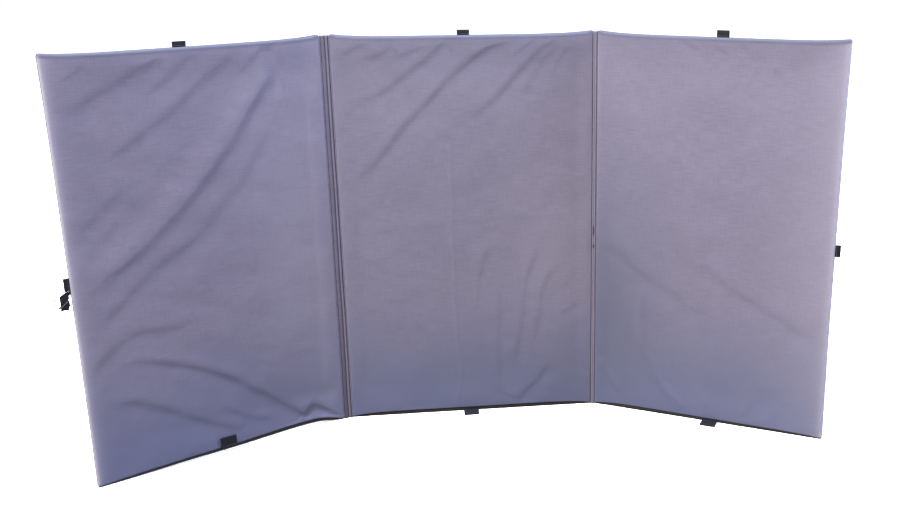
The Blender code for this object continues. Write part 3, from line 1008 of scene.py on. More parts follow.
class FaceCover:
    """The grey fabric over a panel's face: crown, folds, rounded edges and the turn to its seams."""

    COLUMNS = 216
    ROWS = 336
    TURNS = 6
    TUCKS = (0.05 * MM, SIZES.seam_tuck, 1.5 * MM, 1.7 * MM, 3.2 * MM)
    WAVES = ((0.30 * MM, 0.170, 24), (0.10 * MM, 0.060, 40), (0.020 * MM, 0.022, 60))
    SWAY = 1.4 * MM
    SWAY_LENGTH = 0.15
    SWAY_COUNT = 14
    SOFT_EDGE = 0.012
    SOFT_LIMIT = 0.12 * MM
    PUCKER = 0.17 * MM
    PUCKER_BIAS = 1.4
    PUCKER_TURN = 0.012
    PUCKER_REACH = 0.009
    CLOTH_STEP = 0.2 * MM
    # The free side is lightened by wear along the edge and by a painted highlight where the outer edge
    # catches light.
    FREE_WEAR_AND_HIGHLIGHT = ((1.5, 0.007), (0.4, 0.02))
    FOLD_WEAR = ((0.15, 0.006),)
    # The top rim is painted dark and bluish: painted shade.
    RIM_DEPTH = 0.014
    RIM_FADE = 0.010
    RIM_PAINTED_SHADE = 0.85
    LINING_GRID = (27, 41)

    def __init__(self, panel: Panel, finish: Finish) -> None:
        """Take the panel and the fabric."""
        self.panel = panel
        self.finish = finish

    def inner_radius(self, side: int) -> float:
        """How far the rows inside the grid are drawn in at one side."""
        return SIZES.edge_round if self.panel.outer == side else SIZES.fold_round

    def edge_radius(self, across: Array, side: Array, end: Array, x: Array,
                    z: Array) -> tuple[Array, Array]:
        """The radius of the turn over the edges.

        Args:
            across: Shares across.
            side: The side edge that each vertex lies on, if any.
            end: The top or bottom that it lies on, if any.
            x: Rough places across.
            z: Rough places up.

        Returns:
            The radius over the sides, and that over the top or bottom.
        """
        panel = self.panel
        free = side == panel.outer
        side_radius = np.where(free & (side != 0), SIZES.edge_round, SIZES.fold_round)
        reach = SIZES.corner_reach
        low = smoothstep((z - SIZES.hem_corner) / reach)
        high = smoothstep((panel.top_line(across) - z) / reach)
        side_radius = SIZES.hem_round + (side_radius - SIZES.hem_round) * low
        corner = np.where(np.sign(across) == panel.outer, SIZES.edge_round, SIZES.fold_round)
        if panel.outer == 0:
            corner = np.full_like(across, SIZES.fold_round)
        near_side = smoothstep((panel.width / 2 - np.abs(x)) / reach)
        top_radius = corner + (SIZES.edge_round - corner) * near_side
        side_radius = np.where(high < 1, corner + (side_radius - corner) * high, side_radius)
        end_radius = np.where(end > 0, top_radius, SIZES.hem_round)
        return side_radius, end_radius

    def seam_depth(self, end: Array, z: Array) -> Array:
        """How far below the face the seam lies, at the sides, the top and the hem."""
        return np.where(end < 0, SIZES.hem_seam, seam_level(z)) - SIZES.gap / 2

    def depth(self, ring: Array, turn: Array, radius: Array, seam: Array) -> Array:
        """How far below the face each ring lies: the turn, the wall, the seam and the lining.

        Args:
            ring: The ring of each vertex.
            turn: Its angle round the edge.
            radius: The edge's radius.
            seam: The seam's depth.

        Returns:
            The depth.
        """
        depth = np.where(ring > 0, radius * (1 - np.cos(turn)), 0.0)
        wall = np.clip(ring - self.TURNS, 0, 2) / 2
        depth = np.where(wall > 0, radius + (seam - radius) * wall, depth)
        depth = np.where(ring == self.TURNS + 4, (seam + SIZES.lining) / 2, depth)
        return np.where(ring == self.TURNS + 5, SIZES.lining, depth)

    def relief(self, x: Array, z: Array, edge: Array) -> Array:
        """How far the fabric lies below or above its crown: folds, waves and puckers.

        Args:
            x: Places across.
            z: Places up.
            edge: Distance to the nearest edge.

        Returns:
            The height towards the viewer, in metres.
        """
        panel = self.panel
        folds = np.zeros_like(x)
        sway_x = x + self.SWAY * ripples(x, z, self.SWAY_LENGTH, self.SWAY_COUNT, panel.seed + 3)
        sway_z = z + self.SWAY * ripples(x, z, self.SWAY_LENGTH, self.SWAY_COUNT, panel.seed + 4)
        for crease in panel.creases:
            folds += crease.height(sway_x, sway_z)
        for number, (height, length, count) in enumerate(self.WAVES):
            folds += height * ripples(x, z, length, count, panel.seed + number)
        reach = np.where(x * panel.outer > 0, SIZES.slack_reach, SIZES.fold_reach)
        beside = np.clip(panel.width / 2 - np.abs(x), 0, None) / reach
        above = np.clip(np.minimum(z, SIZES.height - z), 0, None) / SIZES.slack_reach
        inside = smoothstep(beside) * smoothstep(above)
        soft = smoothstep(edge / self.SOFT_EDGE)
        free = (panel.width / 2 - x * panel.outer) if panel.outer else np.full_like(x, 1.0)
        below = np.clip(SIZES.height - z, 0, 1)
        rolled = SIZES.roll_off * (np.exp(-free / 0.008) + 0.6 * np.exp(-below / 0.006))
        lift = folds * soft - SIZES.slack * inside - rolled
        return -np.logaddexp(0, -lift / self.SOFT_LIMIT) * self.SOFT_LIMIT

    def wear_and_shading(self, x: Array, z: Array, left: Array, right: Array, top: Array) -> Array:
        """Wear and painted shading: above 0 where edges are worn and painted lighter, below 0 where painted
        shade dims the face.

        Args:
            x: Places across.
            z: Places up.
            left: The left side's distance from the middle.
            right: The right side's.
            top: The top's height.

        Returns:
            The wear and painted shading at each place.
        """
        beside = np.clip(np.minimum(x + left, right - x), 0, None)
        bands = np.where(x * self.panel.outer > 0, faded(beside, self.FREE_WEAR_AND_HIGHLIGHT),
                         faded(beside, self.FOLD_WEAR))
        # Painted shade along the top rim; inside it lie the panel's broad patches of painted light and shade.
        rim = smoothstep((z - (top - self.RIM_DEPTH)) / self.RIM_FADE)
        return (bands + self.panel.shade(x, z)) * (1 - rim) - self.RIM_PAINTED_SHADE * rim

    def build(self) -> Piece:
        """Make the piece.

        Returns:
            The piece.
        """
        panel = self.panel
        rings = self.TURNS + len(self.TUCKS)
        obj = cloth_object(panel.name + "_face", ringed_grid(self.COLUMNS, self.ROWS, rings, True))
        across, upward, ring = grid_places(obj, CROWDING)
        side, end = ends_of(across), ends_of(upward)
        left, right = panel.side_line(-1, upward), panel.side_line(1, upward)
        hem, top = panel.hem_line(across), panel.top_line(across)
        rough_x = across * panel.width / 2
        rough_z = hem + (top - hem) * (upward + 1) / 2
        side_radius, end_radius = self.edge_radius(across, side, end, rough_x, rough_z)
        left_in = left - np.where(side != 0, side_radius, self.inner_radius(-1))
        right_in = right - np.where(side != 0, side_radius, self.inner_radius(1))
        x = -left_in + (left_in + right_in) * (across + 1) / 2
        low_in = hem + SIZES.hem_round
        high_in = top - np.where(end > 0, end_radius, SIZES.edge_round)
        z = low_in + (high_in - low_in) * (upward + 1) / 2
        turn = math.pi / 2 * np.minimum(ring, self.TURNS) / self.TURNS
        x += side * side_radius * np.sin(turn)
        z += end * end_radius * np.sin(turn)
        radius = np.where(end != 0, end_radius, side_radius)
        depth = self.depth(ring, turn, radius, self.seam_depth(end, z))
        tuck = np.array((0.0, *self.TUCKS))[np.clip(ring - self.TURNS, 0, None)]
        x -= side * tuck
        z -= end * tuck
        x, z = rounded_corners(x, z, -left, right, SIZES.hem_corner, top, panel.corner_radii())

        edge = np.minimum(np.minimum(x + left, right - x), np.minimum(z - hem, top - z))
        edge = np.clip(edge, 0, None)
        crown = SIZES.crown * draw(across) * draw(upward)
        shown = np.where(ring <= self.TURNS, 1.0, 0.0) * np.cos(turn)
        lift = crown + self.relief(x, z, edge) * shown
        wave = self.puckers(x, z)
        y = SIZES.front + depth - np.where(ring < self.TURNS + 4, lift, 0.0)
        held = (ring <= self.TURNS + 1) & (ring > 0)
        loose = np.where(side == panel.outer, 1.0, 0.25)
        x += np.where(held, side * wave * loose * np.sin(turn), 0.0)
        z += np.where(held, end * wave * np.sin(turn), 0.0)
        y -= np.where(ring <= self.TURNS, wave * np.cos(turn) * np.exp(-edge / self.PUCKER_REACH), 0.0)
        around = depth + np.where(ring > 0, self.CLOTH_STEP * ring, 0)
        write_points(obj, np.stack([x, y, z], -1))
        write_cloth_map(obj, np.stack([x + side * around, z + end * around], -1))
        write_edges(obj, self.wear_and_shading(x, z, left, right, top))
        with edited(obj) as bm:
            self.cut_lining(bm)
            bmesh.ops.recalc_face_normals(bm, faces=bm.faces)
        write_points(obj, panel.seated(read_points(obj)))
        obj.data.materials.append(self.finish)
        fit(obj, panel.body, panel.name + "_face_cover")
        return obj

    def cut_lining(self, bm: Shape) -> None:
        """Cut the one inner face into a coarse grid, so that it can follow the panel's bend.

        Args:
            bm: The cover in the panel's frame.
        """
        lining = [max(bm.faces, key=lambda face: len(face.verts))]
        half = self.panel.width / 2
        columns, rows = self.LINING_GRID
        cuts = [((place, 0, 0), (1, 0, 0)) for place in np.linspace(-half, half, columns)[1:-1]]
        cuts += [((0, 0, place), (0, 0, 1)) for place in np.linspace(0, SIZES.height, rows)[1:-1]]
        for place, way in cuts:
            around = {edge for face in lining for edge in face.edges}
            corners = {vert for face in lining for vert in face.verts}
            made = bmesh.ops.bisect_plane(bm, geom=lining + list(around) + list(corners), dist=1e-6,
                                          plane_co=place, plane_no=way)
            lining = [item for item in made["geom"] if isinstance(item, bmesh.types.BMFace)]

    def puckers(self, x: Array, z: Array) -> Array:
        """The pull of the seams on the fabric's edges.

        Args:
            x: Places across.
            z: Places up.

        Returns:
            The pull in metres, mostly inwards.
        """
        panel = self.panel
        vertical = panel.seam_wave(z, 1)
        level = panel.seam_wave(x, 2)
        nearer_side = np.minimum(np.abs(x + panel.width / 2), np.abs(panel.width / 2 - x))
        nearer_end = np.minimum(np.abs(z), np.abs(SIZES.height - z))
        share = smoothstep(0.5 + (nearer_end - nearer_side) / self.PUCKER_TURN)
        wave = share * vertical + (1 - share) * level
        return self.PUCKER * (wave - self.PUCKER_BIAS)


class BaseCover:
    """The black fabric of a panel: the back, its turned-up sides and the hem along the bottom."""

    COLUMNS = 104
    ROWS = 160
    TURNS = 5
    WALLS = 8
    FLOOR_SHARE = 0.42
    RISE_SHARE = 0.34
    HEM_CURVE = 1.55
    SEAM_SETBACK = 0.1 * MM
    BELLY = 0.5 * MM
    BELLY_START = 0.62
    HEM_WAVE = 0.22 * MM
    WAVES = ((0.20 * MM, 0.17, 10), (0.09 * MM, 0.05, 14))
    WEAR_REACH = 0.006

    def __init__(self, panel: Panel, finish: Finish) -> None:
        """Take the panel and the fabric."""
        self.panel = panel
        self.finish = finish

    def hem_path(self, hem: Array, share: Array) -> tuple[Array, Array]:
        """The fabric's way under the panel and up the front as the hem.

        Args:
            hem: The hem's height at each vertex.
            share: 0 at the turn of the back, 1 at the seam.

        Returns:
            The depth and height at each vertex.
        """
        under = SIZES.back - SIZES.back_round
        ahead = SIZES.front + SIZES.hem_floor
        rise = smoothstep((share - self.FLOOR_SHARE) / self.RISE_SHARE)
        level = np.clip(share / self.FLOOR_SHARE, 0, 1)
        y = under + (ahead - under) * level
        y = y + (SIZES.front + SIZES.hem_seam + self.SEAM_SETBACK - ahead) * rise
        up = np.clip((share - self.FLOOR_SHARE) / (1 - self.FLOOR_SHARE), 0, 1)
        z = (hem - SIZES.gap) * up ** self.HEM_CURVE
        swell = np.clip((share - self.BELLY_START) / (1 - self.BELLY_START), 0, 1)
        return y - self.BELLY * np.sin(math.pi * swell), z

    def build(self) -> Piece:
        """Make the piece.

        Returns:
            The piece.
        """
        panel = self.panel
        rings = self.TURNS + self.WALLS + 1
        obj = cloth_object(panel.name + "_base", ringed_grid(self.COLUMNS, self.ROWS, rings, False))
        across, upward, ring = grid_places(obj, CROWDING)
        side, end = ends_of(across), ends_of(upward)
        left, right = panel.side_line(-1, upward), panel.side_line(1, upward)
        hem, top = panel.hem_line(across), panel.top_line(across)
        radius = SIZES.back_round
        x = -(left - radius) + (left + right - 2 * radius) * (across + 1) / 2
        rise = hem + (top - hem) * (upward + 1) / 2
        turn = math.pi / 2 * np.minimum(ring, self.TURNS) / self.TURNS
        z = radius + (top - radius - radius) * (upward + 1) / 2
        x += side * radius * np.sin(turn)
        z += end * radius * np.sin(turn)
        wall = np.clip(ring - self.TURNS, 0, self.WALLS) / self.WALLS
        z = np.where((side != 0) & (end == 0), z + (rise - z) * wall, z)
        seam = np.where(end > 0, SIZES.side_seam, seam_level(z))
        y = SIZES.back - radius * (1 - np.cos(turn))
        y_wall = SIZES.back - radius + (SIZES.front + seam + SIZES.gap / 2 - SIZES.back + radius) * wall
        y = np.where(wall > 0, y_wall, y)
        y_hem, z_hem = self.hem_path(hem, wall)
        y = np.where((end < 0) & (wall > 0), y_hem, y)
        z = np.where((end < 0) & (wall > 0), z_hem, z)
        lip = ring == rings
        tuck = np.where(ring >= rings - 1, SIZES.seam_tuck * 0.8, 0.0) + np.where(lip, 0.9 * MM, 0.0)
        x -= side * tuck
        z -= np.where(end > 0, tuck, 0.0)
        y = np.where(lip & (end < 0), y + 1.2 * MM, y)
        y = np.where(lip & (end >= 0), y + 0.25 * MM, y)
        x, z = rounded_corners(x, z, -left, right, 0.0, top, panel.corner_radii())

        edge = np.clip(np.minimum(np.minimum(x + left, right - x), np.minimum(z, top - z)), 0, None)
        y -= np.where(ring == 0, 1.0, 0.0) * self.slack_of(x, z, edge)
        wave = panel.seam_wave(z, 3) * 0.12 * MM - 0.15 * MM
        level = panel.seam_wave(x, 4)
        walls = np.where((ring > 1) & ~lip, 1.0, 0.0)
        x += side * wave * walls
        z += np.where(end > 0, (level * 0.12 - 0.15) * MM * walls, 0.0)
        hem_share = np.where((end < 0) & (wall > 0.5) & ~lip, np.sin(math.pi * (wall - 0.5) / 0.5), 0.0)
        y += self.HEM_WAVE * level * hem_share
        around = SIZES.back - y
        flat_z = np.where(end < 0, -around - z, z + end * around)
        write_points(obj, panel.seated(np.stack([x, y, z], -1)))
        write_cloth_map(obj, np.stack([x + side * around, flat_z], -1))
        write_edges(obj, np.exp(-edge / self.WEAR_REACH))
        with edited(obj) as bm:
            widest = max(bm.faces, key=lambda face: face.calc_area())
            bm.normal_update()
            if widest.normal.dot(panel.direction(0, 1, 0)) < 0:
                bmesh.ops.reverse_faces(bm, faces=bm.faces)
        add_modifier(obj, "Wall", "SOLIDIFY", thickness=SIZES.base_wall, offset=-1.0)
        obj.data.materials.append(self.finish)
        fit(obj, panel.body, panel.name + "_base_cover")
        return obj

    def slack_of(self, x: Array, z: Array, edge: Array) -> Array:
        """How far the back's fabric lies inside its flat plane: soft wrinkles, inwards only.

        Args:
            x: Places across.
            z: Places up.
            edge: Distance to the nearest edge.

        Returns:
            The depth at each place.
        """
        panel = self.panel
        folds = np.zeros_like(x)
        for crease in panel.back_creases:
            folds += crease.height(x, z)
        for number, (height, length, count) in enumerate(self.WAVES, 11):
            folds += height * ripples(x, z, length, count, panel.seed + number)
        inside = smoothstep(edge / 0.05)
        lift = folds * smoothstep(edge / 0.015) - SIZES.base_slack * inside
        return -np.minimum(lift, 0.0)


class Foam:
    """The two foam sheets inside a panel, cut a little smaller than its covers."""

    INSET = SIZES.base_wall + 1.9 * MM
    FOOT = 3.4 * MM
    FIRM_FOOT = 4.2 * MM
    MEETING = 9.5 * MM
    CLEARANCE = 0.3 * MM
    BACK_CLEARANCE = 0.9 * MM
    SOFT_INSET = 2 * MM
    ROUND = 0.0012

    def __init__(self, panel: Panel, soft: Finish, firm: Finish) -> None:
        """Take the panel and the foams' materials.

        Args:
            panel: The panel.
            soft: The open-cell foam's material.
            firm: The closed-cell foam's.
        """
        self.panel = panel
        self.soft = soft
        self.firm = firm

    def slab(self, name: str, low: Vector, high: Vector, finish: Finish) -> Piece:
        """A cut sheet with softly rounded edges.

        Args:
            name: The piece's name.
            low: Its lowest corner in the panel's frame.
            high: Its highest corner.
            finish: The foam's material.

        Returns:
            The piece.
        """
        bm = bmesh.new()
        bmesh.ops.create_cube(bm, size=1)
        bmesh.ops.scale(bm, verts=bm.verts, vec=high - low)
        bmesh.ops.translate(bm, verts=bm.verts, vec=(low + high) / 2)
        bmesh.ops.bevel(bm, geom=bm.edges, offset=self.ROUND, segments=3, profile=0.5,
                        affect="EDGES", material=-1)
        long_edges = [edge for edge in bm.edges if edge.calc_length() > 0.1]
        bmesh.ops.subdivide_edges(bm, edges=long_edges, cuts=24, use_grid_fill=True)
        obj = cloth_object(name, bm)
        write_points(obj, self.panel.seated(read_points(obj)))
        obj.data.materials.append(finish)
        return obj

    def build(self) -> list:
        """Make both pieces.

        Returns:
            The open-cell sheet and the closed-cell sheet.
        """
        panel = self.panel
        left = -(panel.width / 2 - self.INSET - (SIZES.side_draw if panel.outer == -1 else 0))
        right = panel.width / 2 - self.INSET - (SIZES.side_draw if panel.outer == 1 else 0)
        top = SIZES.height - SIZES.top_draw - self.INSET
        foot = panel.hem + self.FOOT
        front = SIZES.front + SIZES.lining + self.CLEARANCE
        middle = SIZES.front + self.MEETING
        back = SIZES.back - SIZES.base_wall - SIZES.base_slack - self.BACK_CLEARANCE
        inset = self.SOFT_INSET
        soft = self.slab(panel.name + "_open_cell_sheet", Vector((left + inset, front, foot)),
                         Vector((right - inset, middle, top - inset)), self.soft)
        firm = self.slab(panel.name + "_closed_cell_sheet",
                         Vector((left, middle + self.CLEARANCE, self.FIRM_FOOT)),
                         Vector((right, back, top)), self.firm)
        fit(soft, panel.body, panel.name + "_soft_foam")
        fit(firm, panel.body, panel.name + "_firm_foam")
        return [soft, firm]


# ---- gussets


@dataclass
class Gusset:
    """The strip of fabric in a fold, pressed into ribs along its seams.

    Each row of the profile is a place across, a depth behind the seam line and a painted shade from 0 to 1.
    Each gap is a height and half a length where the seam stands open.
    """

    name: str
    body: str
    joint: str
    length: float
    seat: Matrix
    profile: tuple
    seed: int
    swell: float = 0.0010
    slip: float = 0.0004
    low_shade: float = 0.0
    gaps: tuple = ()
    foot: float = 0.0010
    top: float = 0.9985
    wall: float = 0.0010
    lap: float = 0.0016
    low_place: float = 0.72
    low_reach: float = 0.005
    low_height: float = 0.42
    gap_place: float = 0.47
    gap_reach: float = 0.0022
    gap_depth: float = 0.0022
    gap_shade: float = 1.3
    keep: float = 0.45
    columns: int = 60
    rows: int = 300

    def build(self, finish: Finish) -> Piece:
        """Make the piece.

        Args:
            finish: The fabric.

        Returns:
            The piece.
        """
        bm = bmesh.new()
        bmesh.ops.create_grid(bm, x_segments=self.columns, y_segments=self.rows, size=1)
        obj = cloth_object(self.name + "_strip", bm)
        points = read_points(obj)
        share = (points[:, 0] + 1) / 2
        z = self.foot + (self.top - self.foot) * (points[:, 1] + 1) / 2
        x = -self.lap + share * (self.length + 2 * self.lap)
        slip = self.slip * ripples(np.zeros_like(z), z, 0.19, 6, self.seed)
        slip = slip * np.sin(math.pi * np.clip(share, 0, 1))
        uneven = 1 + 0.14 * ripples(share * 0.02, z, 0.07, 8, self.seed + 1)
        uneven += 0.10 * ripples(share * 0.01, z, 0.024, 8, self.seed + 2)
        places, depths, painted_shading = np.array(self.profile).T
        y = np.interp(x + slip, places, depths) - self.swell * (uneven - 1)
        # Painted shade: the profile darkens the grooves, low_shade darkens the lower part beside one seam,
        # and each gap is painted dark inside.
        dark = np.interp(x + slip, places, painted_shading)
        low = 1 - smoothstep(z / self.low_height)
        apart = (x - self.low_place * self.length) / self.low_reach
        dark = dark + self.low_shade * low * np.exp(-(apart ** 2))
        beside = ((x - self.gap_place * self.length) / self.gap_reach) ** 2
        for height, half in self.gaps:
            slit = np.exp(-beside - (((z - height) / half) ** 4))
            y += self.gap_depth * slit
            dark = dark + self.gap_shade * slit
        write_points(obj, stood(np.stack([x, y, z], -1), self.seat))
        write_cloth_map(obj, np.stack([share * self.length, z], -1))
        write_edges(obj, np.clip(dark, 0, 1))
        out = self.seat.to_3x3() @ Vector((0, -1, 0))
        with edited(obj) as bm:
            bm.normal_update()
            if sum((face.normal.dot(out) for face in bm.faces), 0.0) < 0:
                bmesh.ops.reverse_faces(bm, faces=bm.faces)
        add_modifier(obj, "Wall", "SOLIDIFY", thickness=self.wall, offset=-1.0)
        obj.data.materials.append(finish)
        fit(obj, self.body, self.name)
        anchor = self.seat @ Vector((self.length / 2, 0.0, SIZES.height / 2))
        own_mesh(obj)
        return obj


# ---- webbing


def ribbon(name: str, path: Array, width: float, seat: Matrix, wall: float,
           finish: Finish, taper: Optional[Callable[[Array], Array]] = None,
           columns: int = 14) -> Piece:
    """A band of webbing along a path in its own Y and Z, as wide as said along its own X.

    Args:
        name: The piece's name.
        path: The path's points, depth and height, one a row.
        width: The band's width.
        seat: Where its own frame stands.
        wall: The webbing's thickness.
        finish: Its material.
        taper: Moves the places across for each row of the path, if given.
        columns: Cells across.

    Returns:
        The piece.
    """
    rows = len(path) - 1
    bm = bmesh.new()
    bmesh.ops.create_grid(bm, x_segments=columns, y_segments=rows, size=1)
    obj = cloth_object(name, bm)
    points = read_points(obj)
    row = np.rint((points[:, 1] + 1) / 2 * rows).astype(int)
    across = points[:, 0] * width / 2
    if taper is not None:
        across = taper(np.stack([across, path[row, 1]], -1))
    steps = np.hypot(*np.diff(path, axis=0).T)
    along = np.concatenate([[0.0], np.cumsum(steps)])
    write_points(obj, stood(np.stack([across, path[row, 0], path[row, 1]], -1), seat))
    write_cloth_map(obj, np.stack([points[:, 0] * width / 2, along[row]], -1))
    write_edges(obj, (np.abs(points[:, 0]) > 0.9).astype(float))
    add_modifier(obj, "Wall", "SOLIDIFY", thickness=wall, offset=0.0, use_even_offset=True)
    add_modifier(obj, "Selvedge", "BEVEL", width=0.32 * wall, segments=2,
                 limit_method="ANGLE", angle_limit=math.radians(50))
    obj.data.materials.append(finish)
    return obj


def arc(centre: Point, radius: float, start: float, stop: float, steps: int) -> list:
    """Points of an arc, both ends included."""
    turns = (start + (stop - start) * step / steps for step in range(steps + 1))
    return [(centre[0] + radius * math.cos(t), centre[1] + radius * math.sin(t)) for t in turns]


def stitches(name: str, places: Sequence[tuple[Vector, Vector, Vector]], length: float, thick: float,
             finish: Finish) -> Piece:
    """Short stitches as one piece.

    Args:
        name: The piece's name.
        places: Each stitch's middle, its direction and the way out of the fabric.
        length: A stitch's length.
        thick: The thread's thickness.
        finish: The thread's material.

    Returns:
        The piece.
    """
    bm = bmesh.new()
    for middle, way, out in places:
        made = bmesh.ops.create_icosphere(bm, subdivisions=1, radius=0.5)
        third = way.cross(out).normalized()
        turn = Matrix((way * length, third * thick, out * thick)).transposed()
        bmesh.ops.transform(bm, matrix=Matrix.Translation(middle) @ turn.to_4x4(), verts=made["verts"])
    bmesh.ops.recalc_face_normals(bm, faces=bm.faces)
    obj = cloth_object(name, bm)
    obj.data.materials.append(finish)
    return obj


@dataclass
class Loop:
    """A webbing loop on a panel's seam, with a row of bar tacks on both sides.

    frame is where its foot stands in the panel's frame. joint names the fold that presses the loop
    flat, if any; it only gives the loop's pieces meshes of their own, and keep is not used.
    """

    TACK_PITCH = 1.0 * MM
    TACK_LEAN = 0.45
    TACK_SHARE = 0.86
    THREAD_LENGTH = 2.2 * MM
    THREAD_THICK = 0.42 * MM

    name: str
    panel: Panel
    path: Array
    width: float
    frame: Matrix
    tack_height: float
    tack_out: float
    joint: Optional[str] = None
    keep: float = 0.06
    wall: float = 0.0014

    def build(self, finish: Finish, thread: Finish) -> list:
        """Make the loop and its bar tacks.

        Args:
            finish: The webbing.
            thread: The thread.

        Returns:
            The loop and its tacks.
        """
        seat = self.panel.seat @ self.frame
        obj = ribbon(self.name + "_webbing", self.path, self.width, seat, self.wall, finish)
        turn = seat.to_3x3()
        count = int(self.width / self.TACK_PITCH)
        rows = []
        for side in (-1, 1):
            for step in range(count):
                across = (step + 0.5) / count * self.width * self.TACK_SHARE
                across -= self.width * self.TACK_SHARE / 2
                spot = Vector((across, side * self.tack_out, self.tack_height))
                lean = self.TACK_LEAN if step % 2 else -self.TACK_LEAN
                way = turn @ Vector((lean, 0, 1)).normalized()
                rows.append((seat @ spot, way, turn @ Vector((0, side, 0))))
        tack = stitches(self.name + "_tack", rows, self.THREAD_LENGTH, self.THREAD_THICK, thread)
        fit(obj, self.panel.body, self.name)
        fit(tack, self.panel.body)
        if self.joint:
            axis = self.panel.direction(0, -1, 0)
            anchor = self.panel.seated_point(0, SIZES.front, 0)
            for piece in (obj, tack):
                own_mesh(piece)
        return [obj, tack]


# ---- hook, strap


